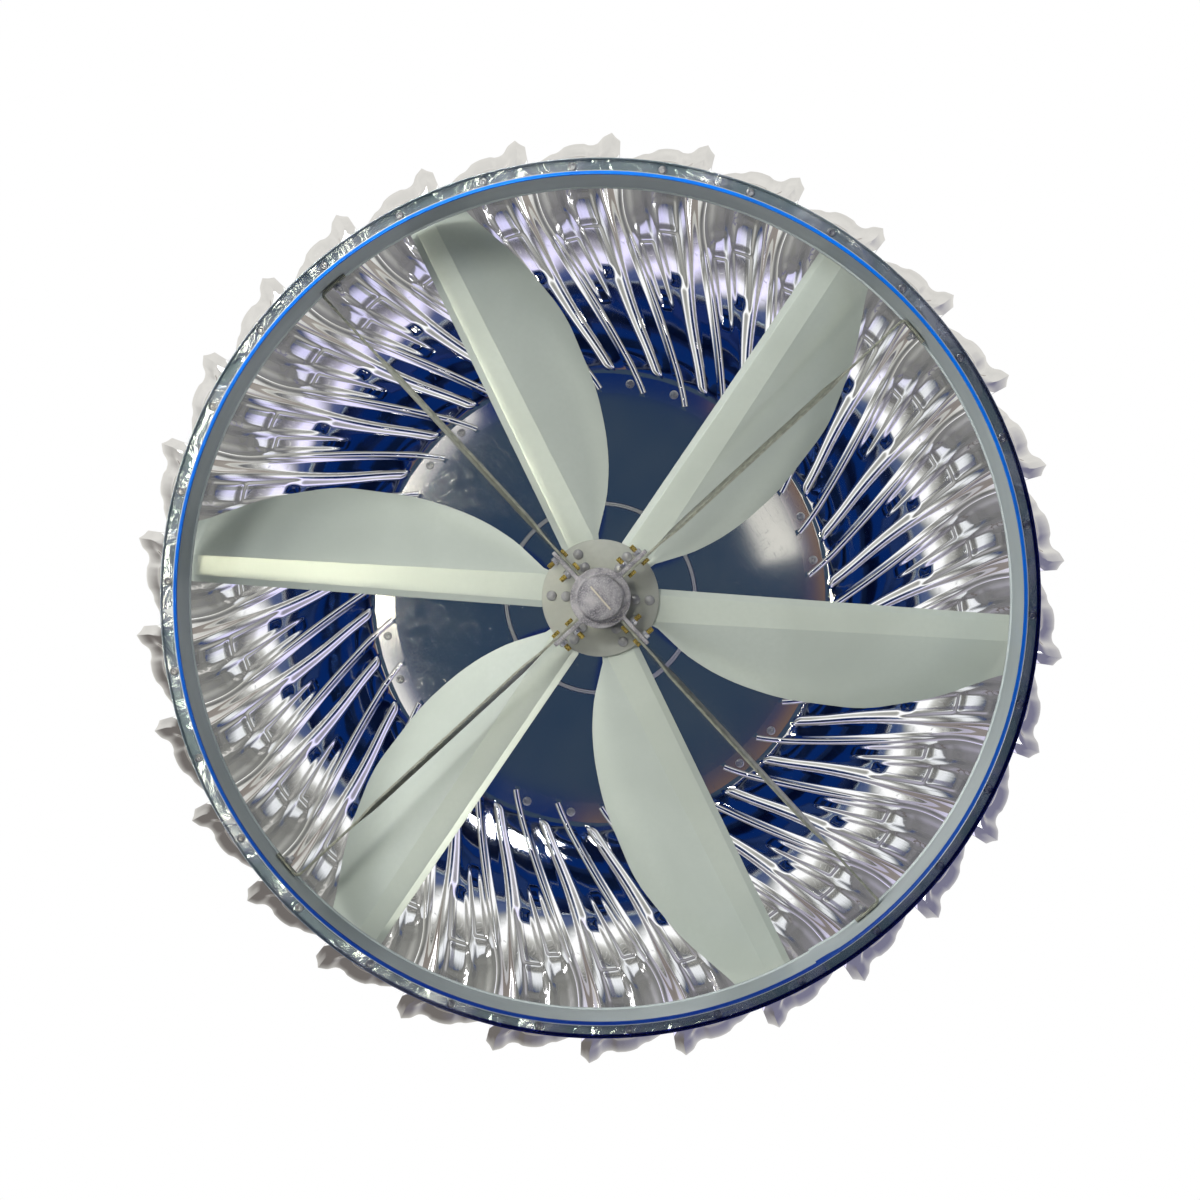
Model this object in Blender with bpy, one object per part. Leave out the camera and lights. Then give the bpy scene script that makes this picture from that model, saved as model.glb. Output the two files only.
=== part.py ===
# Turbine roof ventilator with a 762 mm throat.
# The throat collar stands on its hem and carries the bearing on four stay bars.
# The rotor, from the fan blades up to the vanes and the top cover, turns about the Z axis.

import math

import bmesh
import bpy
from mathutils import Matrix, Vector

# Gaps between pieces, in metres
TOUCH_GAP = 0.0003
RUNNING_GAP = 0.0035
CUT_OVERRUN = 0.002
MERGE_DISTANCE = 0.00001
SMOOTH_ANGLE = math.radians(35.0)

# Throat collar
THROAT_INNER_RADIUS = 0.381
THROAT_WALL = 0.0012
THROAT_HEIGHT = 0.095
HEM_REACH = 0.003
HEM_HEIGHT = 0.006
RIM_ROLL_REACH = 0.0015
RIM_ROLL_HEIGHT = 0.006
THROAT_SEGMENTS = 48

# Double row ball bearing
BEARING_OUTER_RADIUS = 0.0175
BEARING_BORE_RADIUS = 0.0075
BEARING_WIDTH = 0.0159
OUTER_RACE_INNER_RADIUS = 0.0146
INNER_RACE_OUTER_RADIUS = 0.0099
BALL_ROW_SPACING = 0.0076
BALL_ROWS = 2
BALLS_PER_ROW = 7
CAGE_SHEET = 0.0010
CAGE_WIDTH = 0.0098
BEARING_SEGMENTS = 20

# Bearing housing
HOUSING_WALL = 0.0036
HOUSING_CAP_HEIGHT = 0.014
HOUSING_CAP_DOME = 0.004
HOUSING_RELIEF_RADIUS = 0.013
HOUSING_FLOOR = 0.0085
HOUSING_FLANGE_RADIUS = 0.028
HOUSING_FLANGE_HEIGHT = 0.015
HOUSING_RIM_ABOVE_BEARING = 0.002
HOUSING_SEGMENTS = 24
FIN_LENGTH = 0.0325
FIN_THICKNESS = 0.004
FIN_HEIGHT = 0.0135

# Stay bars
STAY_COUNT = 4
STAY_ANGLE = math.radians(47.4)
STAY_WIDTH = 0.012
STAY_THICKNESS = 0.0025
STAY_TWIST = math.radians(20.0)
STAY_TWIST_START = 0.070
STAY_TWIST_LENGTH = 0.030
STAY_CORNER_RADIUS = 0.004
STAY_FOOT_LENGTH = 0.028

# Machine screws and nuts
BOLT_RADIUS = 0.0025
BOLT_HOLE_RADIUS = 0.0028
BOLT_HEAD_RADIUS = 0.0046
BOLT_HEAD_HEIGHT = 0.0035
NUT_HEIGHT = 0.004
THREAD_REACH = 0.0065
FOOT_THREAD_REACH = 0.004
CLAMP_BOLT_RADII = (0.0365, 0.0530)
FOOT_BOLT_OFFSET = 0.0165
HEX_SIDES = 6

# Rotor shaft
SHAFT_END_BELOW_BEARING = 0.0075
SHAFT_COLLAR_RADIUS = 0.011
SHAFT_COLLAR_LENGTH = 0.012
SHAFT_RADIUS = 0.009
STUD_RADIUS = 0.006
STUD_REACH = 0.004
SHAFT_SEGMENTS = 16
RETAINER_REACH = 0.0030
RETAINER_THICKNESS = 0.0012
RETAINER_GROOVE_DEPTH = 0.0005
RETAINER_SWEEP = math.radians(310.0)

# Hub
HUB_DISC_RISE = 0.006
HUB_DISC_RADIUS = 0.0545
HUB_DISC_THICKNESS = 0.0025
HUB_BOSS_RADIUS = 0.016
HUB_BOSS_HEIGHT = 0.020
HUB_SEGMENTS = 32

# Fan blades
BLADE_COUNT = 6
BLADE_ANGLE = math.radians(3.6)
BLADE_SHEET = 0.001
BLADE_ROOT = 0.027
BLADE_EDGE_AT_HUB = -0.0118
BLADE_EDGE_AT_TIP = -0.0081
BLADE_FOLD_AT_HUB = 0.0190
BLADE_FOLD_AT_TIP = 0.0162
BLADE_LIP_WIDTH = 0.0066
BLADE_LIP_TILT = math.radians(10.0)
BLADE_FLAP_TILT = math.radians(25.0)
BLADE_FLAP_WIDTH = 0.0718
BLADE_FLAP_CAMBER_SHARE = 0.42
BLADE_ROOT_NARROWING = 0.0035
BLADE_TIP_TAB_HEIGHT = 0.014
# Along the blade as shares of hub disc edge to tip, and the flap's width as shares of its widest
BLADE_STATION_SHARES = (0.0, 0.10, 0.215, 0.365, 0.595, 0.79, 0.975)
BLADE_FLAP_SHARES = (0.08, 0.47, 0.73, 0.92, 1.0, 0.80, 0.43)
BLADE_FLAP_TIP_SHARE = 0.38

# Rivets
RIVET_RADIUS = 0.0024
RIVET_HOLE_RADIUS = 0.0027
RIVET_HEAD_RADIUS = 0.0047
RIVET_HEAD_HEIGHT = 0.0014
RIVET_TAIL_RADIUS = 0.0034
RIVET_TAIL_HEIGHT = 0.0016
RIVET_END_REACH = 0.0008
RIVET_SIDES = 6
HUB_RIVET_RADII = (0.0320, 0.0455)
HUB_RIVET_ANGLE = math.radians(2.8)
RING_RIVET_HEAD_RADIUS = 0.0040
TIP_RIVET_HEIGHT = 0.009

# Rotor ring, whose bore clears the throat's outer face
RING_SHEET = 0.0012
RING_CLEARANCE = 0.0068
RING_FLANGE_WIDTH = 0.019
RING_WALL_HEIGHT = 0.0215
RING_LIP_HEIGHT = 0.0085
RING_SEGMENTS = 48

# Vanes
VANE_COUNT = 30
VANE_PEAK_ANGLE = math.radians(-4.6)
VANE_EDGE_FROM_PEAK = math.radians(-10.8)
VANE_SHEET = 0.0008
VANE_BULGE_PAST_RING = 0.051
VANE_EQUATOR_HEIGHT = 0.220
VANE_RING_TAB = 0.0125
VANE_RING_BEND_INSET = 0.0015
VANE_RISE = 0.2803
VANE_TOP_TAB = 0.033
VANE_TWIST = math.radians(18.2)
VANE_TWIST_POWER = 1.8
RING_RIVET_FROM_EDGE = math.radians(5.65)
TOP_RIVET_FROM_EDGE = math.radians(9.2)
# From a vane's bends to its rivets
RING_RIVET_FROM_BEND = 0.0053
TOP_RIVET_FROM_BEND = 0.012
# Across a vane: angle from its inner edge, and depth below the outline where the relief is full
VANE_COLUMN_ANGLES = (0.0, 2.3, 3.9, 5.9, 9.0, 10.8, 11.9)
VANE_COLUMN_INSETS = (0.031, 0.0226, 0.0174, 0.012, 0.0072, 0.0, 0.010)
# The columns that are pressed out as flutes, and the one that is pressed in as a rib
VANE_FLUTE_SHARES = (0.0, 1.0, 0.0, 1.0, 0.0, 0.0, 0.0)
VANE_RIB_SHARES = (0.0, 0.0, 0.0, 0.0, 1.0, 0.0, 0.0)
VANE_FLUTE_DEPTH = 0.0030
VANE_RIB_HEIGHT = 0.0032
# How far the rib drifts across the vane towards the top, and between which shares of the way up
VANE_RIB_DRIFT = -2.1
VANE_RIB_DRIFT_SHARES = (0.45, 0.85)
VANE_TAB_WIDTH_SHARE = 0.95
# Rows of a vane as shares of the way from the ring to the equator, and from there to the top
VANE_LOWER_SHARES = (0.30, 0.65)
VANE_UPPER_SHARES = (0.0, 0.24, 0.46, 0.70, 0.96)
# The flutes reach up to here, as a share of the way from the equator to the top
VANE_FLUTE_END_SHARE = 0.66
# Handles of the outline's curves as shares of their drop in radius and their height
VANE_LOWER_HANDLE_SHARES = ((0.0, 0.40), (0.60, 0.80))
VANE_UPPER_HANDLE_SHARES = ((0.0, 0.66), (0.60, 0.965))
# Where the relief is full above the ring, where it starts and ends its fall above the equator, how
# much of it stays in the broad panels near the top, and where that ends too
VANE_LOWER_RELIEF_SHARE = 0.35
VANE_UPPER_RELIEF_SHARES = (0.22, 0.66)
VANE_PANEL_RELIEF_SHARE = 0.15
VANE_PANEL_END_SHARES = (0.90, 0.99)

# Inner disc and top cover, which overhangs the vanes' top bend
DISC_EDGE_FROM_BEND = 0.0235
DISC_SHEET = 0.001
DISC_STEP_RADIUS = 0.104
DISC_STEP_WIDTH = 0.004
DISC_STEP_HEIGHT = 0.003
COVER_RADIUS = 0.252
COVER_OVERHANG = 0.007
COVER_SHEET = 0.001
COVER_FLAT_WIDTH = 0.045
COVER_RISE = 0.020
COVER_LAND_RADIUS = 0.030
COVER_CURVE_SHARES = ((0.74, 0.52), (0.42, 0.88))
COVER_SEGMENTS = 36
TOP_NUT_RADIUS = 0.0104
TOP_NUT_HEIGHT = 0.010
TOP_NUT_FLANGE_RADIUS = 0.014
TOP_NUT_FLANGE_HEIGHT = 0.002

# Heights that follow from the sizes above
RING_BOTTOM = THROAT_HEIGHT + RUNNING_GAP
RING_TOP = RING_BOTTOM + RING_SHEET
HUB_DISC_TOP = THROAT_HEIGHT + HUB_DISC_RISE
HUB_DISC_BOTTOM = HUB_DISC_TOP - HUB_DISC_THICKNESS
BLADE_BOTTOM = HUB_DISC_TOP + TOUCH_GAP
BEARING_TOP = HUB_DISC_BOTTOM - SHAFT_COLLAR_LENGTH
BEARING_BOTTOM = BEARING_TOP - BEARING_WIDTH
HOUSING_TOP = BEARING_TOP + HOUSING_RIM_ABOVE_BEARING
SHAFT_BOTTOM = BEARING_BOTTOM - SHAFT_END_BELOW_BEARING
HOUSING_RELIEF_BOTTOM = SHAFT_BOTTOM - HOUSING_FLOOR
HOUSING_BOTTOM = HOUSING_RELIEF_BOTTOM - HOUSING_WALL
FLANGE_BOTTOM = HOUSING_BOTTOM + HOUSING_CAP_HEIGHT
STAY_HEIGHT = FLANGE_BOTTOM + HOUSING_FLANGE_HEIGHT / 2
VANE_BASE = RING_TOP + TOUCH_GAP
VANE_EQUATOR = VANE_BASE + VANE_EQUATOR_HEIGHT
VANE_TOP = VANE_EQUATOR + VANE_RISE
DISC_TOP = VANE_TOP - VANE_SHEET - TOUCH_GAP
DISC_BOTTOM = DISC_TOP - DISC_SHEET
COVER_BOTTOM = VANE_TOP + TOUCH_GAP
SHOULDER_TOP = DISC_BOTTOM + DISC_STEP_HEIGHT - TOUCH_GAP
COVER_CENTRE_TOP = COVER_BOTTOM + COVER_RISE + COVER_SHEET

# Radii that follow from the sizes above
RING_INNER_RADIUS = THROAT_INNER_RADIUS + THROAT_WALL + RING_CLEARANCE
RING_OUTER_RADIUS = RING_INNER_RADIUS + RING_FLANGE_WIDTH
VANE_RING_BEND_RADIUS = RING_OUTER_RADIUS - VANE_RING_BEND_INSET
RING_RIVET_CIRCLE = VANE_RING_BEND_RADIUS - RING_RIVET_FROM_BEND
VANE_EQUATOR_RADIUS = RING_OUTER_RADIUS + VANE_BULGE_PAST_RING
VANE_TOP_BEND_RADIUS = COVER_RADIUS - COVER_OVERHANG
TOP_RIVET_CIRCLE = VANE_TOP_BEND_RADIUS - TOP_RIVET_FROM_BEND
DISC_RADIUS = VANE_TOP_BEND_RADIUS - DISC_EDGE_FROM_BEND
HOUSING_RADIUS = BEARING_OUTER_RADIUS + TOUCH_GAP + HOUSING_WALL
BALL_CIRCLE = (OUTER_RACE_INNER_RADIUS + INNER_RACE_OUTER_RADIUS) / 2
BALL_RADIUS = (OUTER_RACE_INNER_RADIUS - INNER_RACE_OUTER_RADIUS) / 2 - TOUCH_GAP
VANE_PITCH = math.tau / VANE_COUNT


def facet_radius(radius, segments):
    """Distance from the axis to the middle of a flat side of a turned piece."""
    return radius * math.cos(math.pi / segments)


BLADE_TIP_RADIUS = facet_radius(RING_INNER_RADIUS, RING_SEGMENTS) - TOUCH_GAP
STAY_OUTER_RADIUS = facet_radius(THROAT_INNER_RADIUS, THROAT_SEGMENTS) - TOUCH_GAP


def clear_scene():
    for thing in list(bpy.data.objects):
        bpy.data.objects.remove(thing, do_unlink=True)


def make_material(name, colour, roughness, metallic):
    material = bpy.data.materials.new(name)
    material.use_nodes = True
    shader = material.node_tree.nodes["Principled BSDF"]
    shader.inputs["Base Color"].default_value = (*colour, 1.0)
    shader.inputs["Roughness"].default_value = roughness
    shader.inputs["Metallic"].default_value = metallic
    return material


def add_empty(name):
    empty = bpy.data.objects.new(name, None)
    bpy.context.collection.objects.link(empty)
    return empty


def add_object(name, mesh, material, parent, angle=0.0):
    thing = bpy.data.objects.new(name, mesh)
    bpy.context.collection.objects.link(thing)
    if material and not mesh.materials:
        mesh.materials.append(material)
    thing.parent = parent
    thing.rotation_euler.z = angle
    return thing


def finish_mesh(name, shape):
    bmesh.ops.remove_doubles(shape, verts=shape.verts, dist=MERGE_DISTANCE)
    bmesh.ops.recalc_face_normals(shape, faces=shape.faces)
    mesh = bpy.data.meshes.new(name)
    shape.to_mesh(mesh)
    shape.free()
    mesh.shade_smooth()
    mesh.set_sharp_from_angle(angle=SMOOTH_ANGLE)
    return mesh


def add_turned(shape, profile, segments, sweep=math.tau):
    """Spins a closed profile of (radius, height) points about Z, or one whose ends lie on the axis."""
    verts = [shape.verts.new((radius, 0.0, height)) for radius, height in profile]
    edges = [shape.edges.new(pair) for pair in zip(verts, verts[1:])]
    full_turn = sweep == math.tau
    geometry = verts + edges
    if profile[0][0] > 0:
        edges.append(shape.edges.new((verts[-1], verts[0])))
        geometry.append(edges[-1])
    if not full_turn:
        geometry.append(shape.faces.new(verts))
    bmesh.ops.spin(
        shape, geom=geometry, cent=(0, 0, 0), axis=(0, 0, 1),
        angle=sweep, steps=segments, use_merge=full_turn,
    )
    return shape


def turned_mesh(name, profile, segments, sweep=math.tau):
    return finish_mesh(name, add_turned(bmesh.new(), profile, segments, sweep))


def add_prism(shape, stations, sides, place=Matrix()):
    """Stacks rings of (radius, height) along the place's Z and closes both ends."""
    rings = []
    for radius, height in stations:
        corners = [
            Vector((
                radius * math.cos(math.tau * k / sides),
                radius * math.sin(math.tau * k / sides),
                height,
            ))
            for k in range(sides)
        ]
        rings.append([shape.verts.new(place @ corner) for corner in corners])
    for low, high in zip(rings, rings[1:]):
        for k in range(sides):
            after = (k + 1) % sides
            shape.faces.new((low[k], low[after], high[after], high[k]))
    shape.faces.new(list(reversed(rings[0])))
    shape.faces.new(rings[-1])


def looking(direction, origin):
    """A frame at origin whose Z runs along direction."""
    turn = Vector(direction).to_track_quat("Z", "X").to_matrix().to_4x4()
    return Matrix.Translation(origin) @ turn


def turn_about_z(angle):
    return Matrix.Rotation(angle, 4, "Z")


def add_cutter(name, shape):
    bmesh.ops.recalc_face_normals(shape, faces=shape.faces)
    mesh = bpy.data.meshes.new(name)
    shape.to_mesh(mesh)
    shape.free()
    cutter = add_object(name, mesh, None, None)
    cutter.hide_render = True
    cutter.display_type = "WIRE"
    return cutter


def use_boolean(thing, tool, operation="DIFFERENCE"):
    modifier = thing.modifiers.new(tool.name, "BOOLEAN")
    modifier.operation = operation
    modifier.object = tool
    modifier.solver = "EXACT"


def settle(thing):
    """Turns the evaluated object into a plain mesh that copies can share."""
    evaluated = thing.evaluated_get(bpy.context.evaluated_depsgraph_get())
    mesh = bpy.data.meshes.new_from_object(evaluated)
    mesh.shade_smooth()
    mesh.set_sharp_from_angle(angle=SMOOTH_ANGLE)
    thing.modifiers.clear()
    thing.data = mesh
    return mesh


def drill(shape, radius, place, depth):
    add_prism(shape, ((radius, -CUT_OVERRUN), (radius, depth + CUT_OVERRUN)), RIVET_SIDES, place)


def smooth_share(share):
    share = min(max(share, 0.0), 1.0)
    return share * share * (3 - 2 * share)


def make_throat(material, parent):
    inner = THROAT_INNER_RADIUS
    outer = inner + THROAT_WALL
    roll_foot = THROAT_HEIGHT - RIM_ROLL_HEIGHT
    roll_low = THROAT_HEIGHT - RIM_ROLL_HEIGHT * 3 / 4
    roll_high = THROAT_HEIGHT - RIM_ROLL_HEIGHT / 4
    profile = (
        (inner, 0), (inner, roll_foot), (inner - RIM_ROLL_REACH, roll_low),
        (inner - RIM_ROLL_REACH, roll_high), (inner, THROAT_HEIGHT), (outer, THROAT_HEIGHT),
        (outer, HEM_HEIGHT), (outer + HEM_REACH, HEM_HEIGHT), (outer + HEM_REACH, 0),
    )
    collar = add_object(
        "throat_collar", turned_mesh("throat_collar", profile, THROAT_SEGMENTS), material, parent
    )
    holes = bmesh.new()
    for place in foot_bolt_places():
        depth = THROAT_INNER_RADIUS - STAY_OUTER_RADIUS + STAY_THICKNESS + THROAT_WALL
        drill(holes, BOLT_HOLE_RADIUS, place, depth)
    use_boolean(collar, add_cutter("foot_holes_cutter", holes))


def stay_angles():
    return [STAY_ANGLE + math.tau * k / STAY_COUNT for k in range(STAY_COUNT)]


def foot_bolt_places():
    """Frames on the inner face of each stay's foot, pointing outwards along the bolt."""
    places = []
    reach = math.sqrt(STAY_OUTER_RADIUS ** 2 - FOOT_BOLT_OFFSET ** 2)
    outward = Vector((reach, FOOT_BOLT_OFFSET, 0)).normalized()
    start = outward * (STAY_OUTER_RADIUS - STAY_THICKNESS)
    for angle in stay_angles():
        turn = turn_about_z(angle)
        origin = turn @ (start + Vector((0, 0, STAY_HEIGHT)))
        places.append(looking(turn.to_3x3() @ outward, origin))
    return places


def clamp_bolt_places():
    """Frames on the free face of each stay at its clamp, pointing through the stay and the fin."""
    places = []
    for angle in stay_angles():
        turn = turn_about_z(angle)
        for radius in CLAMP_BOLT_RADII:
            origin = turn @ Vector((radius, STAY_THICKNESS / 2, STAY_HEIGHT))
            places.append(looking(turn.to_3x3() @ Vector((0, -1, 0)), origin))
    return places


def make_housing(material, parent):
    bore = BEARING_OUTER_RADIUS + TOUCH_GAP
    ledge = BEARING_BOTTOM - TOUCH_GAP
    flange_top = FLANGE_BOTTOM + HOUSING_FLANGE_HEIGHT
    cap_low = HOUSING_BOTTOM + HOUSING_CAP_DOME
    profile = (
        (0, HOUSING_BOTTOM), (HOUSING_RADIUS * 2 / 3, HOUSING_BOTTOM + HOUSING_CAP_DOME / 4),
        (HOUSING_RADIUS, cap_low), (HOUSING_RADIUS, FLANGE_BOTTOM),
        (HOUSING_FLANGE_RADIUS, FLANGE_BOTTOM), (HOUSING_FLANGE_RADIUS, flange_top),
        (HOUSING_RADIUS, flange_top), (HOUSING_RADIUS, HOUSING_TOP), (bore, HOUSING_TOP),
        (bore, ledge), (HOUSING_RELIEF_RADIUS, ledge),
        (HOUSING_RELIEF_RADIUS, HOUSING_RELIEF_BOTTOM), (0, HOUSING_RELIEF_BOTTOM),
    )
    housing = add_object(
        "bearing_housing", turned_mesh("bearing_housing", profile, HOUSING_SEGMENTS),
        material, parent,
    )
    fins = bmesh.new()
    fin_start = HOUSING_FLANGE_RADIUS - FIN_THICKNESS
    fin_end = HOUSING_FLANGE_RADIUS + FIN_LENGTH
    fin_side = -STAY_THICKNESS / 2 - TOUCH_GAP
    size = Vector((fin_end - fin_start, FIN_THICKNESS, FIN_HEIGHT))
    centre = Vector(((fin_start + fin_end) / 2, fin_side - FIN_THICKNESS / 2, STAY_HEIGHT))
    for angle in stay_angles():
        place = turn_about_z(angle) @ Matrix.Translation(centre) @ Matrix.Diagonal((*size, 1))
        bmesh.ops.create_cube(fins, size=1, matrix=place)
    use_boolean(housing, add_cutter("fins_tool", fins), "UNION")
    holes = bmesh.new()
    for place in clamp_bolt_places():
        drill(holes, BOLT_HOLE_RADIUS, place, STAY_THICKNESS + FIN_THICKNESS)
    use_boolean(housing, add_cutter("fin_holes_cutter", holes))


def stay_sections():
    """Section centres along one stay, with the direction of its thickness and its twist."""
    start = HOUSING_FLANGE_RADIUS + TOUCH_GAP + MERGE_DISTANCE
    twist_end = STAY_OUTER_RADIUS - STAY_TWIST_START
    straight = (
        (start, 0.0), (STAY_TWIST_START, 0.0), (STAY_TWIST_START + STAY_TWIST_LENGTH, 1.0),
        (twist_end - STAY_TWIST_LENGTH, 1.0), (twist_end, 0.0),
    )
    sections = [(Vector((x, 0, 0)), Vector((0, 1, 0)), twist) for x, twist in straight]
    middle_radius = STAY_OUTER_RADIUS - STAY_THICKNESS / 2
    corner_x = middle_radius - STAY_CORNER_RADIUS
    sections.append((Vector((corner_x, 0, 0)), Vector((0, 1, 0)), 0.0))
    bend = math.radians(45.0)
    centre = Vector((corner_x, STAY_CORNER_RADIUS, 0))
    out = Vector((math.sin(bend), -math.cos(bend), 0))
    sections.append((centre + STAY_CORNER_RADIUS * out, -out, 0.0))
    for share in (0.0, 0.5, 1.0):
        y = STAY_CORNER_RADIUS + share * (STAY_FOOT_LENGTH - STAY_CORNER_RADIUS)
        x = math.sqrt(middle_radius ** 2 - y ** 2)
        sections.append((Vector((x, y, 0)), Vector((-x, -y, 0)).normalized(), 0.0))
    return sections


def make_stays(material, parent):
    shape = bmesh.new()
    loops = []
    up = Vector((0, 0, 1))
    for centre, across, twist in stay_sections():
        turn = Matrix.Rotation(STAY_TWIST * twist, 3, across.cross(up))
        side = turn @ (across * STAY_THICKNESS / 2)
        tall = turn @ (up * STAY_WIDTH / 2)
        middle = centre + up * STAY_HEIGHT
        corners = (side + tall, tall - side, -side - tall, side - tall)
        loops.append([shape.verts.new(middle + corner) for corner in corners])
    for low, high in zip(loops, loops[1:]):
        for k in range(4):
            after = (k + 1) % 4
            shape.faces.new((low[k], low[after], high[after], high[k]))
    shape.faces.new(loops[0])
    shape.faces.new(list(reversed(loops[-1])))
    bar = add_object("stay_bar_1", finish_mesh("stay_bar", shape), material, parent, STAY_ANGLE)
    holes = bmesh.new()
    for place in clamp_bolt_places()[:len(CLAMP_BOLT_RADII)]:
        drill(holes, BOLT_HOLE_RADIUS, place, STAY_THICKNESS)
    use_boolean(bar, add_cutter("stay_holes_cutter", holes))
    bolt = bmesh.new()
    add_foot_bolt(bolt, foot_bolt_places()[0])
    use_boolean(bar, add_cutter("foot_bolt_tool", bolt), "UNION")
    mesh = settle(bar)
    for number, angle in enumerate(stay_angles()[1:], start=2):
        add_object(f"stay_bar_{number}", mesh, material, parent, angle)


def add_foot_bolt(shape, place):
    """The foot's bolt: thread end and nut inside the throat, head outside it."""
    nut_seat = STAY_THICKNESS / 2
    head_seat = THROAT_INNER_RADIUS + THROAT_WALL + TOUCH_GAP - STAY_OUTER_RADIUS + STAY_THICKNESS
    stations = (
        (BOLT_RADIUS, -NUT_HEIGHT - FOOT_THREAD_REACH), (BOLT_RADIUS, -NUT_HEIGHT),
        (BOLT_HEAD_RADIUS, -NUT_HEIGHT), (BOLT_HEAD_RADIUS, nut_seat), (BOLT_RADIUS, nut_seat),
        (BOLT_RADIUS, head_seat), (BOLT_HEAD_RADIUS, head_seat),
        (BOLT_HEAD_RADIUS, head_seat + BOLT_HEAD_HEIGHT),
    )
    add_prism(shape, stations, HEX_SIDES, place)


def make_clamp_bolts(material, parent):
    """Each bolt with the nut that is screwed on it, through a stay bar and a fin."""
    head_seat = -TOUCH_GAP
    nut_seat = STAY_THICKNESS + TOUCH_GAP + FIN_THICKNESS + TOUCH_GAP
    nut_top = nut_seat + NUT_HEIGHT
    stations = (
        (BOLT_HEAD_RADIUS, head_seat - BOLT_HEAD_HEIGHT), (BOLT_HEAD_RADIUS, head_seat),
        (BOLT_RADIUS, head_seat), (BOLT_RADIUS, nut_seat), (BOLT_HEAD_RADIUS, nut_seat),
        (BOLT_HEAD_RADIUS, nut_top), (BOLT_RADIUS, nut_top), (BOLT_RADIUS, nut_top + THREAD_REACH),
    )
    shape = bmesh.new()
    add_prism(shape, stations, HEX_SIDES)
    mesh = finish_mesh("clamp_bolt", shape)
    for number, place in enumerate(clamp_bolt_places(), start=1):
        bolt = add_object(f"clamp_bolt_{number}", mesh, material, parent)
        bolt.matrix_basis = place


def make_bearing(material, still, moving):
    outer = ring_profile(
        OUTER_RACE_INNER_RADIUS, BEARING_OUTER_RADIUS, BEARING_BOTTOM, BEARING_TOP
    )
    mesh = turned_mesh("bearing_outer_race", outer, BEARING_SEGMENTS)
    add_object("bearing_outer_race", mesh, material, still)
    bore = BEARING_BORE_RADIUS + TOUCH_GAP
    inner = ring_profile(bore, INNER_RACE_OUTER_RADIUS, BEARING_BOTTOM, BEARING_TOP)
    mesh = turned_mesh("bearing_inner_race", inner, BEARING_SEGMENTS)
    add_object("bearing_inner_race", mesh, material, moving)
    middle = (BEARING_BOTTOM + BEARING_TOP) / 2
    cage_profile = ring_profile(
        BALL_CIRCLE - CAGE_SHEET / 2, BALL_CIRCLE + CAGE_SHEET / 2,
        middle - CAGE_WIDTH / 2, middle + CAGE_WIDTH / 2,
    )
    mesh = turned_mesh("bearing_ball_cage", cage_profile, BEARING_SEGMENTS)
    cage = add_object("bearing_ball_cage", mesh, material, moving)
    balls = bmesh.new()
    for row in range(BALL_ROWS):
        height = middle + (row - (BALL_ROWS - 1) / 2) * BALL_ROW_SPACING
        for k in range(BALLS_PER_ROW):
            spot = Matrix.Translation((BALL_CIRCLE, 0, height))
            turn = turn_about_z(math.tau * k / BALLS_PER_ROW)
            bmesh.ops.create_icosphere(
                balls, subdivisions=1, radius=BALL_RADIUS, matrix=turn @ spot
            )
    use_boolean(cage, add_cutter("balls_tool", balls), "UNION")


def ring_profile(inner, outer, low, high):
    return ((inner, low), (outer, low), (outer, high), (inner, high))


def make_shaft(material, parent):
    groove_top = BEARING_BOTTOM - TOUCH_GAP
    groove_bottom = groove_top - RETAINER_THICKNESS - 2 * TOUCH_GAP
    groove = BEARING_BORE_RADIUS - RETAINER_GROOVE_DEPTH
    collar_low = BEARING_TOP + TOUCH_GAP
    collar_high = HUB_DISC_BOTTOM - TOUCH_GAP
    top = COVER_CENTRE_TOP + TOP_NUT_FLANGE_HEIGHT + TOP_NUT_HEIGHT + STUD_REACH
    profile = (
        (0, SHAFT_BOTTOM), (BEARING_BORE_RADIUS, SHAFT_BOTTOM),
        (BEARING_BORE_RADIUS, groove_bottom), (groove, groove_bottom), (groove, groove_top),
        (BEARING_BORE_RADIUS, groove_top), (BEARING_BORE_RADIUS, collar_low),
        (SHAFT_COLLAR_RADIUS, collar_low), (SHAFT_COLLAR_RADIUS, collar_high),
        (SHAFT_RADIUS, collar_high), (SHAFT_RADIUS, SHOULDER_TOP), (STUD_RADIUS, SHOULDER_TOP),
        (STUD_RADIUS, top), (0, top),
    )
    add_object("rotor_shaft", turned_mesh("rotor_shaft", profile, SHAFT_SEGMENTS), material, parent)
    low = groove_bottom + TOUCH_GAP
    retainer = ring_profile(
        groove + TOUCH_GAP, groove + RETAINER_REACH, low, low + RETAINER_THICKNESS
    )
    mesh = turned_mesh("shaft_retaining_ring", retainer, SHAFT_SEGMENTS, RETAINER_SWEEP)
    add_object("shaft_retaining_ring", mesh, material, parent)


def hub_rivet_places():
    places = []
    for k in range(BLADE_COUNT):
        angle = HUB_RIVET_ANGLE + math.tau * k / BLADE_COUNT
        for radius in HUB_RIVET_RADII:
            spot = Vector((radius, 0, HUB_DISC_BOTTOM))
            places.append(turn_about_z(angle) @ Matrix.Translation(spot))
    return places


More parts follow.
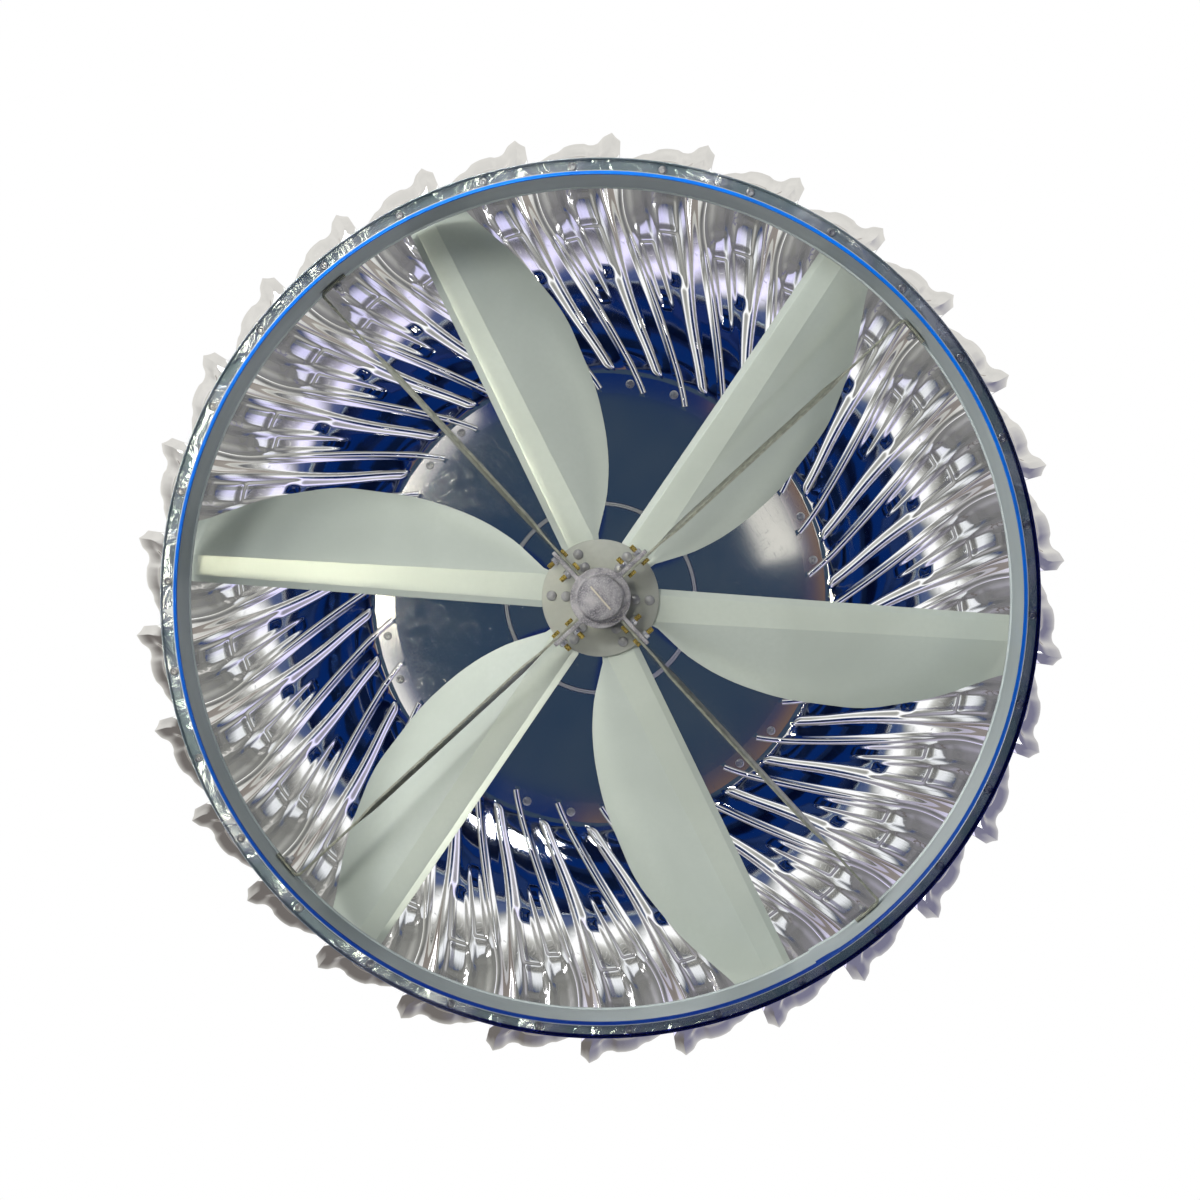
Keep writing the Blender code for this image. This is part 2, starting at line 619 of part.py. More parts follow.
def make_hub(material, parent):
    bore = SHAFT_RADIUS + TOUCH_GAP
    boss_top = HUB_DISC_TOP + HUB_BOSS_HEIGHT
    profile = (
        (bore, HUB_DISC_BOTTOM), (HUB_DISC_RADIUS, HUB_DISC_BOTTOM),
        (HUB_DISC_RADIUS, HUB_DISC_TOP), (HUB_BOSS_RADIUS, HUB_DISC_TOP),
        (HUB_BOSS_RADIUS, boss_top), (bore, boss_top),
    )
    hub = add_object("hub_disc", turned_mesh("hub_disc", profile, HUB_SEGMENTS), material, parent)
    holes = bmesh.new()
    for place in hub_rivet_places():
        drill(holes, RIVET_HOLE_RADIUS, place, HUB_DISC_THICKNESS)
    use_boolean(hub, add_cutter("hub_holes_cutter", holes))


def blade_stations():
    """Distances along a blade with the places across it, each as (across, rise) above its flat."""
    stations = []
    span = BLADE_TIP_RADIUS - HUB_DISC_RADIUS
    camber = math.tan(BLADE_FLAP_TILT)
    rows = [(BLADE_ROOT, 0.0, BLADE_FLAP_SHARES[0], BLADE_ROOT_NARROWING)]
    for share, width_share in zip(BLADE_STATION_SHARES, BLADE_FLAP_SHARES):
        rows.append((HUB_DISC_RADIUS + share * span, share, width_share, 0.0))
    rows.append((None, 1.0, BLADE_FLAP_TIP_SHARE, 0.0))
    for along, share, width_share, narrowing in rows:
        edge = BLADE_EDGE_AT_HUB + share * (BLADE_EDGE_AT_TIP - BLADE_EDGE_AT_HUB) + narrowing
        fold = BLADE_FOLD_AT_HUB + share * (BLADE_FOLD_AT_TIP - BLADE_FOLD_AT_HUB) - narrowing
        lip_fade = 0.0 if narrowing else 1.0
        lip_rise = BLADE_LIP_WIDTH * math.tan(BLADE_LIP_TILT) * lip_fade
        width = BLADE_FLAP_WIDTH * width_share
        middle = width / 2
        places = (
            (edge, lip_rise), (edge + BLADE_LIP_WIDTH, 0.0), (fold, 0.0),
            (fold + middle, width * camber * BLADE_FLAP_CAMBER_SHARE),
            (fold + width, width * camber),
        )
        stations.append((along, places))
    return stations


def blade_tip_tab():
    """Angle from the blade's centre line to the tip tab's middle, and the tab's distance there."""
    bend = math.asin((BLADE_EDGE_AT_TIP + BLADE_LIP_WIDTH) / BLADE_TIP_RADIUS)
    fold = math.asin(BLADE_FOLD_AT_TIP / BLADE_TIP_RADIUS)
    return (bend + fold) / 2, BLADE_TIP_RADIUS * math.cos((fold - bend) / 2)


def blade_mesh(material):
    shape = bmesh.new()
    rows = []
    for along, places in blade_stations():
        row = []
        for across, rise in places:
            reach = along or math.sqrt(BLADE_TIP_RADIUS ** 2 - across ** 2)
            row.append(shape.verts.new((reach, across, BLADE_BOTTOM + rise)))
        rows.append(row)
    for low, high in zip(rows, rows[1:]):
        for k in range(len(low) - 1):
            shape.faces.new((low[k], high[k], high[k + 1], low[k + 1]))
    foot = rows[-1][:3]
    lift = Vector((0, 0, BLADE_TIP_TAB_HEIGHT))
    head = [shape.verts.new(vert.co + lift) for vert in foot[1:]]
    shape.faces.new((foot[1], head[0], head[1], foot[2]))
    mesh = bpy.data.meshes.new("fan_blade")
    shape.normal_update()
    shape.to_mesh(mesh)
    shape.free()
    mesh.materials.append(material)
    return mesh


def tip_rivet_places():
    """Frames on the inner face of each blade's tip tab, pointing outwards."""
    places = []
    angle, reach = blade_tip_tab()
    spot = Vector((reach - BLADE_SHEET, 0, BLADE_BOTTOM + TIP_RIVET_HEIGHT))
    for k in range(BLADE_COUNT):
        turn = turn_about_z(BLADE_ANGLE + angle + math.tau * k / BLADE_COUNT)
        places.append(looking(turn.to_3x3() @ Vector((1, 0, 0)), turn @ spot))
    return places


def make_blades(material, parent):
    """Each blade carries its own two hub rivets and its tip rivet."""
    blade = add_object("fan_blade_1", blade_mesh(material), material, parent, BLADE_ANGLE)
    thicken(blade, BLADE_SHEET, 1)
    rivets = bmesh.new()
    blade_top = HUB_DISC_THICKNESS + TOUCH_GAP + BLADE_SHEET
    for place in hub_rivet_places()[:len(HUB_RIVET_RADII)]:
        add_rivet_set_above(rivets, place, blade_top, RIVET_HEAD_RADIUS)
    ring_outside = RING_INNER_RADIUS + RING_SHEET - (blade_tip_tab()[1] - BLADE_SHEET)
    add_rivet_set_below(rivets, tip_rivet_places()[0], BLADE_SHEET / 2, ring_outside)
    use_boolean(blade, add_cutter("blade_rivets_tool", rivets), "UNION")
    mesh = settle(blade)
    for k in range(1, BLADE_COUNT):
        angle = BLADE_ANGLE + math.tau * k / BLADE_COUNT
        add_object(f"fan_blade_{k + 1}", mesh, material, parent, angle)


def thicken(thing, thickness, side):
    sheet = thing.modifiers.new("sheet", "SOLIDIFY")
    sheet.thickness = thickness
    sheet.offset = side
    sheet.use_even_offset = True


def add_rivet_set_above(shape, place, sheet_top, head_radius):
    """A rivet whose head bears on the place from below and whose shank is set in the sheet above."""
    head_seat = -TOUCH_GAP
    stations = (
        (head_radius, head_seat - RIVET_HEAD_HEIGHT), (head_radius, head_seat),
        (RIVET_RADIUS, head_seat), (RIVET_RADIUS, sheet_top + RIVET_END_REACH),
    )
    add_prism(shape, stations, RIVET_SIDES, place)


def add_rivet_set_below(shape, place, sheet_middle, far_face):
    """A rivet whose head is set in the sheet at the place and whose tail bears on the far face."""
    tail_seat = far_face + TOUCH_GAP
    stations = (
        (RIVET_HEAD_RADIUS, -RIVET_HEAD_HEIGHT), (RIVET_HEAD_RADIUS, sheet_middle),
        (RIVET_RADIUS, sheet_middle), (RIVET_RADIUS, tail_seat), (RIVET_TAIL_RADIUS, tail_seat),
        (RIVET_TAIL_RADIUS, tail_seat + RIVET_TAIL_HEIGHT),
    )
    add_prism(shape, stations, RIVET_SIDES, place)


def vane_angles():
    return [VANE_PEAK_ANGLE + VANE_PITCH * k for k in range(VANE_COUNT)]


def ring_rivet_places():
    places = []
    spot = Vector((RING_RIVET_CIRCLE, 0, RING_BOTTOM))
    for angle in vane_angles():
        turn = turn_about_z(angle + VANE_EDGE_FROM_PEAK + RING_RIVET_FROM_EDGE)
        places.append(turn @ Matrix.Translation(spot))
    return places


def top_rivet_places():
    places = []
    spot = Vector((TOP_RIVET_CIRCLE, 0, VANE_TOP - VANE_SHEET))
    edge = VANE_EDGE_FROM_PEAK + vane_twist(TOP_RIVET_CIRCLE)
    for angle in vane_angles():
        turn = turn_about_z(angle + edge + TOP_RIVET_FROM_EDGE)
        places.append(turn @ Matrix.Translation(spot))
    return places


def make_ring(material, parent):
    inner = RING_INNER_RADIUS
    outer = RING_OUTER_RADIUS
    wall_top = RING_BOTTOM + RING_WALL_HEIGHT
    lip_bottom = RING_BOTTOM - RING_LIP_HEIGHT
    profile = (
        (inner, RING_BOTTOM), (outer - RING_SHEET, RING_BOTTOM), (outer - RING_SHEET, lip_bottom),
        (outer, lip_bottom), (outer, RING_TOP), (inner + RING_SHEET, RING_TOP),
        (inner + RING_SHEET, wall_top), (inner, wall_top),
    )
    ring = add_object("rotor_ring", turned_mesh("rotor_ring", profile, RING_SEGMENTS), material,
                      parent)
    holes = bmesh.new()
    for place in ring_rivet_places():
        drill(holes, RIVET_HOLE_RADIUS, place, RING_SHEET)
    for place in tip_rivet_places():
        drill(holes, RIVET_HOLE_RADIUS, place, BLADE_SHEET + TOUCH_GAP + RING_SHEET)
    use_boolean(ring, add_cutter("ring_holes_cutter", holes))


def bezier_point(handles, share):
    """A point of a curve from (0, 0) to (1, 1), and its direction there."""
    points = [Vector((0, 0)), *(Vector(handle) for handle in handles), Vector((1, 1))]
    rest = 1 - share
    weights = (rest ** 3, 3 * rest ** 2 * share, 3 * rest * share ** 2, share ** 3)
    place = sum((w * p for w, p in zip(weights, points)), Vector((0, 0)))
    slopes = (3 * rest ** 2, 6 * rest * share, 3 * share ** 2)
    steps = [b - a for a, b in zip(points, points[1:])]
    direction = sum((w * s for w, s in zip(slopes, steps)), Vector((0, 0)))
    return place, direction


def meridian_point(share, handles, drop, height):
    """Radius, height and outward direction on the vanes' outline, from the equator to an end."""
    place, direction = bezier_point(handles, share)
    radius = VANE_EQUATOR_RADIUS - place.x * drop
    outward = Vector((abs(direction.y * height), direction.x * drop * math.copysign(1, height)))
    return radius, VANE_EQUATOR + place.y * height, outward.normalized()


def vane_twist(radius):
    """How far the upper part of a vane has turned about the axis since the equator."""
    closing = (VANE_EQUATOR_RADIUS - radius) / (VANE_EQUATOR_RADIUS - VANE_TOP_BEND_RADIUS)
    return VANE_TWIST * max(closing, 0.0) ** VANE_TWIST_POWER


def ramp(share, ends):
    """0 before the first share, 1 past the second, and smooth between them."""
    return smooth_share((share - ends[0]) / (ends[1] - ends[0]))


def vane_rows():
    """Rows up a vane: radius, height and outward direction, relief share, twist, the shares of its
    flutes and its rib, and how far the rib has drifted."""
    ring_end = VANE_RING_BEND_RADIUS - VANE_RING_TAB
    down = Vector((0, -1))
    rows = []
    for radius in (ring_end, VANE_RING_BEND_RADIUS):
        rows.append((radius, VANE_BASE, down, 0.0, 0.0, 0.0, 0.0, 0.0))
    ring_drop = VANE_EQUATOR_RADIUS - VANE_RING_BEND_RADIUS
    for share in VANE_LOWER_SHARES:
        point = meridian_point(
            1 - share, VANE_LOWER_HANDLE_SHARES, ring_drop, -VANE_EQUATOR_HEIGHT
        )
        relief = smooth_share(share / VANE_LOWER_RELIEF_SHARE)
        rows.append((*point, relief, 0.0, 1.0, 1.0, 0.0))
    top_drop = VANE_EQUATOR_RADIUS - VANE_TOP_BEND_RADIUS
    for share in VANE_UPPER_SHARES:
        point = meridian_point(share, VANE_UPPER_HANDLE_SHARES, top_drop, VANE_RISE)
        relief = 1 - (1 - VANE_PANEL_RELIEF_SHARE) * ramp(share, VANE_UPPER_RELIEF_SHARES)
        relief -= VANE_PANEL_RELIEF_SHARE * ramp(share, VANE_PANEL_END_SHARES)
        flutes = 1.0 if share < VANE_FLUTE_END_SHARE else 0.0
        drift = ramp(share, VANE_RIB_DRIFT_SHARES)
        rows.append((*point, relief, vane_twist(point[0]), flutes, 1.0, drift))
    for radius in (VANE_TOP_BEND_RADIUS, VANE_TOP_BEND_RADIUS - VANE_TOP_TAB):
        rows.append((radius, VANE_TOP, Vector((0, 1)), 0.0, vane_twist(radius), 0.0, 0.0, 1.0))
    return rows


def vane_mesh(material):
    """The outer face of the first vane, one row of points after another."""
    shape = bmesh.new()
    rows = []
    columns = list(zip(VANE_COLUMN_ANGLES, VANE_COLUMN_INSETS, VANE_FLUTE_SHARES, VANE_RIB_SHARES))
    for radius, height, outward, relief, twist, flutes, rib, drift in vane_rows():
        width_share = VANE_TAB_WIDTH_SHARE + relief * (1 - VANE_TAB_WIDTH_SHARE)
        row = []
        for degrees, inset, flute_share, rib_share in columns:
            depth = relief * inset - flutes * flute_share * VANE_FLUTE_DEPTH
            depth += rib * rib_share * VANE_RIB_HEIGHT
            place = Vector((radius, height)) - depth * outward
            turned = degrees + rib_share * drift * VANE_RIB_DRIFT
            angle = VANE_EDGE_FROM_PEAK + twist + math.radians(turned) * width_share
            spot = (place.x * math.cos(angle), place.x * math.sin(angle), place.y)
            row.append(shape.verts.new(spot))
        rows.append(row)
    for low, high in zip(rows, rows[1:]):
        for k in range(len(low) - 1):
            shape.faces.new((low[k], low[k + 1], high[k + 1], high[k]))
    shape.normal_update()
    mesh = bpy.data.meshes.new("vane")
    shape.to_mesh(mesh)
    shape.free()
    mesh.materials.append(material)
    return mesh


def make_vanes(material, parent):
    """Each vane carries the rivet that holds it to the ring and the one that holds it to the cover."""
    vane = add_object("vane_01", vane_mesh(material), material, parent, VANE_PEAK_ANGLE)
    thicken(vane, VANE_SHEET, -1)
    rivets = bmesh.new()
    tab_top = RING_SHEET + TOUCH_GAP + VANE_SHEET
    add_rivet_set_above(rivets, ring_rivet_places()[0], tab_top, RING_RIVET_HEAD_RADIUS)
    cover_top = VANE_SHEET + TOUCH_GAP + COVER_SHEET
    add_rivet_set_below(rivets, top_rivet_places()[0], VANE_SHEET / 2, cover_top)
    use_boolean(vane, add_cutter("vane_rivets_tool", rivets), "UNION")
    mesh = settle(vane)
    for number, angle in enumerate(vane_angles()[1:], start=2):
        add_object(f"vane_{number:02d}", mesh, material, parent, angle)


def make_disc(material, parent):
    step_in = DISC_STEP_RADIUS - DISC_STEP_WIDTH
    hole = STUD_RADIUS + TOUCH_GAP
    profile = (
        (DISC_RADIUS, DISC_BOTTOM), (DISC_RADIUS, DISC_TOP), (DISC_STEP_RADIUS, DISC_TOP),
        (step_in, DISC_TOP + DISC_STEP_HEIGHT), (hole, DISC_TOP + DISC_STEP_HEIGHT),
        (hole, DISC_BOTTOM + DISC_STEP_HEIGHT), (step_in, DISC_BOTTOM + DISC_STEP_HEIGHT),
        (DISC_STEP_RADIUS, DISC_BOTTOM),
    )
    add_object("inner_disc", turned_mesh("inner_disc", profile, COVER_SEGMENTS), material, parent)


def make_cover(material, parent):
    flat_inner = COVER_RADIUS - COVER_FLAT_WIDTH
    lower = [(COVER_RADIUS, 0.0), (flat_inner, 0.0)]
    for radius_share, rise_share in COVER_CURVE_SHARES:
        lower.append((flat_inner * radius_share, COVER_RISE * rise_share))
    lower += [(COVER_LAND_RADIUS, COVER_RISE), (STUD_RADIUS + TOUCH_GAP, COVER_RISE)]
    low_side = [(radius, COVER_BOTTOM + rise) for radius, rise in lower]
    high_side = [(radius, height + COVER_SHEET) for radius, height in reversed(low_side)]
    cover = add_object(
        "top_cover", turned_mesh("top_cover", low_side + high_side, COVER_SEGMENTS), material,
        parent,
    )
    holes = bmesh.new()
    for place in top_rivet_places():
        depth = VANE_SHEET + TOUCH_GAP + COVER_SHEET
        drill(holes, RIVET_HOLE_RADIUS, place, depth)
    use_boolean(cover, add_cutter("cover_holes_cutter", holes))


def make_top_nut(material, parent):
    low = COVER_CENTRE_TOP + TOUCH_GAP
    hole = STUD_RADIUS + TOUCH_GAP
    flange = ring_profile(hole, TOP_NUT_FLANGE_RADIUS, low, low + TOP_NUT_FLANGE_HEIGHT)
    mesh = turned_mesh("top_flange_nut", flange, SHAFT_SEGMENTS)
    nut = add_object("top_flange_nut", mesh, material, parent)
    hexagon = bmesh.new()
    bottom = low + TOP_NUT_FLANGE_HEIGHT / 2
    top = bottom + TOP_NUT_HEIGHT
    add_prism(hexagon, ((TOP_NUT_RADIUS, bottom), (TOP_NUT_RADIUS, top)), HEX_SIDES)
    use_boolean(nut, add_cutter("nut_hexagon_tool", hexagon), "UNION")
    bore = bmesh.new()
    add_prism(bore, ((hole, low - CUT_OVERRUN), (hole, top + CUT_OVERRUN)), SHAFT_SEGMENTS)
    use_boolean(nut, add_cutter("nut_bore_cutter", bore))


def main():
    clear_scene()
    galvanised = make_material("galvanised_sheet", (0.52, 0.57, 0.53), 0.42, 1.0)
    blade_sheet = make_material("blade_sheet", (0.60, 0.66, 0.62), 0.50, 0.9)
    mirror = make_material("polished_aluminium", (0.86, 0.87, 0.89), 0.06, 1.0)
    cast = make_material("cast_aluminium", (0.55, 0.54, 0.53), 0.45, 1.0)
    steel = make_material("bright_steel", (0.60, 0.60, 0.60), 0.25, 1.0)
    yellow_zinc = make_material("yellow_zinc", (0.62, 0.50, 0.18), 0.30, 1.0)
    stay_steel = make_material("stay_steel", (0.45, 0.47, 0.40), 0.40, 1.0)

    fixed = add_empty("fixed_body")
    rotor = add_empty("rotor_axis")

    make_throat(galvanised, fixed)
    make_housing(cast, fixed)
    make_stays(stay_steel, fixed)
    make_clamp_bolts(yellow_zinc, fixed)
    make_bearing(steel, fixed, rotor)

    make_shaft(steel, rotor)
    make_hub(galvanised, rotor)
    make_blades(blade_sheet, rotor)
    make_ring(mirror, rotor)
    make_vanes(mirror, rotor)
    make_disc(mirror, rotor)
    make_cover(mirror, rotor)
    make_top_nut(steel, rotor)


main()
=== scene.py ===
# Looks of the turbine roof ventilator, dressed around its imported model.
# The picture is taken from straight below: it looks up through the throat, past the bearing
# on its stays and the fan blades, at the polished inner faces of the vanes.

from math import asin, copysign, cos, pi, radians, sin, sqrt, tan, tau

import bmesh
import bpy
import numpy as np
from mathutils import Matrix, Vector


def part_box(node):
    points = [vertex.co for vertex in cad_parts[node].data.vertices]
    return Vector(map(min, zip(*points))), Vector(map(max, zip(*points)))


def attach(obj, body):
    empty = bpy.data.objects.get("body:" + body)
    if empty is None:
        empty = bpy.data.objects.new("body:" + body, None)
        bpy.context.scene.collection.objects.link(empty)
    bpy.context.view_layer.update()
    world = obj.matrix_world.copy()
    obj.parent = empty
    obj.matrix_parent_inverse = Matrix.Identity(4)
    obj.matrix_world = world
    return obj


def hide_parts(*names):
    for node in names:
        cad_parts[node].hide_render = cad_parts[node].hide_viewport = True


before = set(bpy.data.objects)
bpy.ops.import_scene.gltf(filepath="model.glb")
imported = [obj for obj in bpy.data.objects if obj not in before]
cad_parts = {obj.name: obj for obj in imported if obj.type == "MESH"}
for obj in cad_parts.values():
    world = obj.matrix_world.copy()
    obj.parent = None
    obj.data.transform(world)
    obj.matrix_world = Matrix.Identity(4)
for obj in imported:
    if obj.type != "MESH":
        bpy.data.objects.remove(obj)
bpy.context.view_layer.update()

STILL = "fixed_frame"
TURNING = "rotor"
UP = Vector((0, 0, 1))
UPSIDE_DOWN = Matrix.Rotation(pi, 4, "X")

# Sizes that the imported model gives
throat_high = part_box("throat_collar")[1]
ring_low, ring_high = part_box("rotor_ring")
hub_low, hub_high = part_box("hub_disc")
disc_low, disc_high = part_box("inner_disc")
cover_low, cover_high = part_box("top_cover")
housing_low, housing_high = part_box("bearing_housing")
shaft_low, shaft_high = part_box("rotor_shaft")
nut_low, nut_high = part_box("top_flange_nut")
HEM_RADIUS = throat_high.x
THROAT_HEIGHT = throat_high.z
RING_RADIUS = ring_high.x
HUB_RADIUS = hub_high.x
DISC_RADIUS = disc_high.x
COVER_RADIUS = cover_high.x

# Throat collar
THROAT_BORE = 0.381
THROAT_SHEET = 0.0012
THROAT_SEGMENTS = 192
HEM_HEIGHT = 0.006
HEM_BLUE_WIDTH = 0.0030
RIM_ROLL = 0.0015
RIM_HEIGHT = 0.006
ROLL_OUTER = 0.0016
ROLL_INNER = 0.0014
SEAM_ANGLE = radians(56.0)
SEAM_LAP = radians(3.4)

# Rotor ring
RING_SHEET = 0.0012
RING_BORE = 0.389
RING_FLANGE = 0.0985
RING_RIVET_CIRCLE = 0.4012
RING_RIVET_ANGLE = radians(-9.75)

# Bearing housing, with the rise of its domed cap at shares of its radius
FLANGE_RADIUS = 0.028
FLANGE_LOW = 0.065
FLANGE_HIGH = 0.080
CAP_RADIUS = 0.0214
CAP_DOME = ((0.0, 0.0), (0.30, 0.0001), (0.45, 0.0004), (0.62, 0.0009), (0.80, 0.0020),
            (0.94, 0.0040), (1.0, 0.0075))
HOUSING_BORE = 0.0178
BORE_DEPTH = 0.020
FIN_START = 0.024
FIN_END = 0.0605
FIN_OFFSET = -0.00355
FIN_THICKNESS = 0.004
FIN_HEIGHT = 0.0135
FIN_CORNER = 0.0025
CASTING_VOXEL = 0.0007
PARTING_ANGLE = radians(49.0)
PARTING_REACH = 0.72 * CAP_RADIUS
PARTING_RADIUS = 0.0009

# Stays and their bolts
STAY_COUNT = 4
STAY_ANGLE = radians(47.4)
STAY_LEVEL = 0.0725
STAY_WIDTH = 0.012
STAY_THICKNESS = 0.0025
STAY_TWIST = radians(20.0)
STAY_REACH = 0.37988
STAY_START = 0.0284
STAY_TWIST_START = 0.070
STAY_TWIST_RUN = 0.030
STAY_CORNER = 0.004
STAY_FOOT = 0.028
BOLT_RADIUS = 0.0025
HEX_RADIUS = 0.0046
HEX_CHAMFER = 0.0006
HEAD_HEIGHT = 0.0035
NUT_HEIGHT = 0.004
THREAD_PITCH = 0.0008
THREAD_HIDDEN = 0.001
CLAMP_BOLT_CIRCLES = (0.0365, 0.0530)
CLAMP_THREAD_REACH = 0.0065
FOOT_BOLT_OFFSET = 0.0165
FOOT_THREAD_REACH = 0.004
TOUCH_GAP = 0.0003

# Shaft and hub
JOURNAL_RADIUS = 0.0075
SHAFT_COLLAR_RADIUS = 0.011
SHAFT_COLLAR_LOW = 0.0868
SHAFT_RADIUS = 0.009
STUD_RADIUS = 0.006
HUB_BOSS_RADIUS = 0.016
HUB_TOP = 0.101
HUB_RIVET_CIRCLES = (0.0320, 0.0455)
HUB_RIVET_ANGLE = radians(2.8)

# Fan blades
BLADE_COUNT = 6
BLADE_ANGLE = radians(3.6)
BLADE_SHEET = 0.001
BLADE_LEVEL = HUB_TOP + TOUCH_GAP
BLADE_ROOT = 0.027
BLADE_TIP = 0.38787
BLADE_EDGE = (-0.0118, -0.0081)
BLADE_FOLD = (0.0190, 0.0162)
BLADE_ROOT_NARROWING = 0.0035
BLADE_LIP = 0.0066
BLADE_LIP_TILT = radians(20.0)
BLADE_FLAP_TILT = radians(25.0)
BLADE_FLAP_WIDTH = 0.0718
TIP_RIVET_RISE = 0.009
# Along the blade from the hub disc's edge to the tip, and the flap's width there
BLADE_STATION_SHARES = (-0.08, 0.0, 0.10, 0.215, 0.365, 0.595, 0.79, 0.975, 1.0)
BLADE_FLAP_SHARES = (0.08, 0.08, 0.47, 0.73, 0.92, 1.0, 0.80, 0.43, 0.38)
# Across the blade: the lip with its rise, the flat strip and the flap
LIP_SHARES = ((0.0, 1.0), (0.5, 0.45), (0.92, 0.04), (1.1, 0.0))
STRIP_SHARES = (0.35, 0.65, 0.95)
FLAP_SHARES = (0.0, 0.04, 0.12, 0.24, 0.38, 0.52, 0.66, 0.8, 0.92, 1.0)
# The tab at the tip: which points across the blade carry it, and its rows' heights
TAB_COLUMNS = slice(3, 8)
TAB_HEIGHTS = (0.0021, 0.0084, 0.014)

# Vanes
VANE_COUNT = 30
VANE_SHEET = 0.0008
VANE_START_ANGLE = radians(-15.4)
VANE_BASE = 0.100
VANE_EQUATOR = 0.320
VANE_TOP = 0.6003
VANE_RING_BEND = 0.4065
VANE_RING_TAB = 0.0125
VANE_BULGE = 0.459
VANE_TOP_BEND = 0.245
VANE_TOP_TAB = 0.033
VANE_TWIST = radians(18.2)
VANE_TWIST_POWER = 1.8
VANE_BEAD_RADIUS = 0.0031
VANE_BEAD_END = DISC_RADIUS + 0.004
LOWER_HANDLE_SHARES = ((0.0, 0.40), (0.60, 0.80))
UPPER_HANDLE_SHARES = ((0.0, 0.66), (0.60, 0.965))
# Where the relief is full above the ring, where it starts and ends its fall above the equator, how
# much of it stays in the broad panels near the top, and where that ends too
LOWER_RELIEF_SHARE = 0.35
UPPER_RELIEF_SHARES = (0.22, 0.66)
PANEL_RELIEF_SHARE = 0.15
PANEL_END_SHARES = (0.90, 0.99)
# How wide the end tabs are, where the top tab narrows along its length, and by how much
TAB_WIDTH_SHARE = 0.95
TAB_NARROWING_SHARES = (0.45, 0.95)
TAB_NARROWING = 0.16
# Across a vane: degrees from its inner edge, and how deep it lies below the outline
SECTION_DEGREES = (0.0, 3.3, 5.5, 7.8, 10.8, 11.9)
SECTION_INSETS = (0.031, 0.019, 0.012, 0.012, 0.0, 0.010)
# Two pressed flutes in each vane, in pads: centre and half width in degrees, and for each pad its ends
# as shares of the way from the equator to the ring (below zero) or to the top, its two end ramps, and
# how deep it is
FLUTE_A = (2.25, 1.50)
FLUTE_B = (6.0, 2.00)
FLUTE_A_PADS = (
    (-0.82, 0.362, 0.02, 0.050, 0.50), (0.362, 0.486, 0.040, 0.030, 0.65),
    (0.486, 0.745, 0.020, 0.070, 1.0),
)
FLUTE_B_PADS = (
    (-0.82, 0.290, 0.02, 0.050, 0.50), (0.290, 0.446, 0.040, 0.030, 0.65),
    (0.446, 0.655, 0.020, 0.050, 1.0),
)
FLUTE_BOTTOM = 0.40
FLUTE_DEPTH = 0.0030
FLUTE_EDGE = 0.85
FLUTE_CORNER = 0.012
CRINKLE_SHARES = (0.35, 0.50)
# One raised rib, whose centre drifts across the vane towards the top
RIB_CENTRE = (9.0, 6.9)
RIB_DRIFT_SHARES = (0.45, 0.85)
RIB_START_SHARES = (0.04, 0.19)
RIB_END_SHARE = 0.985
RIB_SIDES = (2.0, 0.85)
RIB_HEIGHT = 0.0034
TOP_RIVET_CIRCLE = 0.233
TOP_RIVET_ANGLE = radians(1.88)

# Inner disc, top cover and nut
DISC_SHEET = 0.001
DISC_STEP_RADIUS = 0.104
DISC_STEP_WIDTH = 0.004
DISC_STEP_HEIGHT = 0.003
COVER_SHEET = 0.001
COVER_FLAT_WIDTH = 0.045
COVER_RISE = 0.020
COVER_LAND_RADIUS = 0.030
COVER_CURVE_SHARES = ((0.87, 0.28), (0.74, 0.52), (0.58, 0.73), (0.42, 0.88), (0.26, 0.97))
NUT_FLANGE = (0.0012, 0.0022)
NUT_RADIUS = 0.0104
NUT_CHAMFER = 0.0011

# Rivets: their size, and the crown of a domed and of a drawn head as shares of its radius and height
RIVET_HEAD = 0.0047
RIVET_HEIGHT = 0.0014
RING_RIVET_HEAD = 0.0040
RIVET_TAIL = (0.0034, 0.0012, 0.002)
DOMED = ((0.55, 1.25), (0.25, 1.42), (0.0, 1.46))
DRAWN = ((0.62, 1.0), (0.50, 0.92), (0.36, 0.25), (0.22, 0.20), (0.0, 0.3))

# Where the picture was taken from
CAMERA_DISTANCE = 3.0
CAMERA_FOCAL_PIXELS = 3338.0
SENSOR_WIDTH = 36.0
PICTURE_PIXELS = 1200.0
AXIS_PIXEL = (600.5, 598.0)

# Colours. The painted glow that vanes give off where they mirror each other: a painted reflection, given
# along the way from the ring to the top
WHITE = (1.0, 1.0, 1.0)
VANE_PAINTED_GLOW = (
    (0.00, (0.010, 0.035, 0.13)), (0.18, (0.012, 0.045, 0.15)), (0.25, (0.22, 0.23, 0.23)),
    (0.35, (0.66, 0.67, 0.66)), (0.45, WHITE), (0.66, (0.96, 0.97, 0.95)),
    (0.77, (0.50, 0.50, 0.46)), (0.97, (0.10, 0.10, 0.09)),
)
# Painted lilac tint for one side of the painted vane glow
LILAC = (0.84, 0.79, 1.12)
# Zinc sheets: colour, stains, roughness, how metallic, and their painted shade where vanes mirror them
NAVY_SHADE = (0.012, 0.030, 0.11)
ZINC_SHEETS = {
    "blade_zinc": ((0.63, 0.69, 0.61), (0.56, 0.615, 0.54), 0.24, 0.25, NAVY_SHADE),
    "throat_zinc": ((0.60, 0.66, 0.65), (0.48, 0.54, 0.53), 0.40, 0.2, NAVY_SHADE),
    "hub_zinc": ((0.48, 0.50, 0.44), (0.38, 0.39, 0.34), 0.36, 0.3, (0.22, 0.25, 0.30)),
}
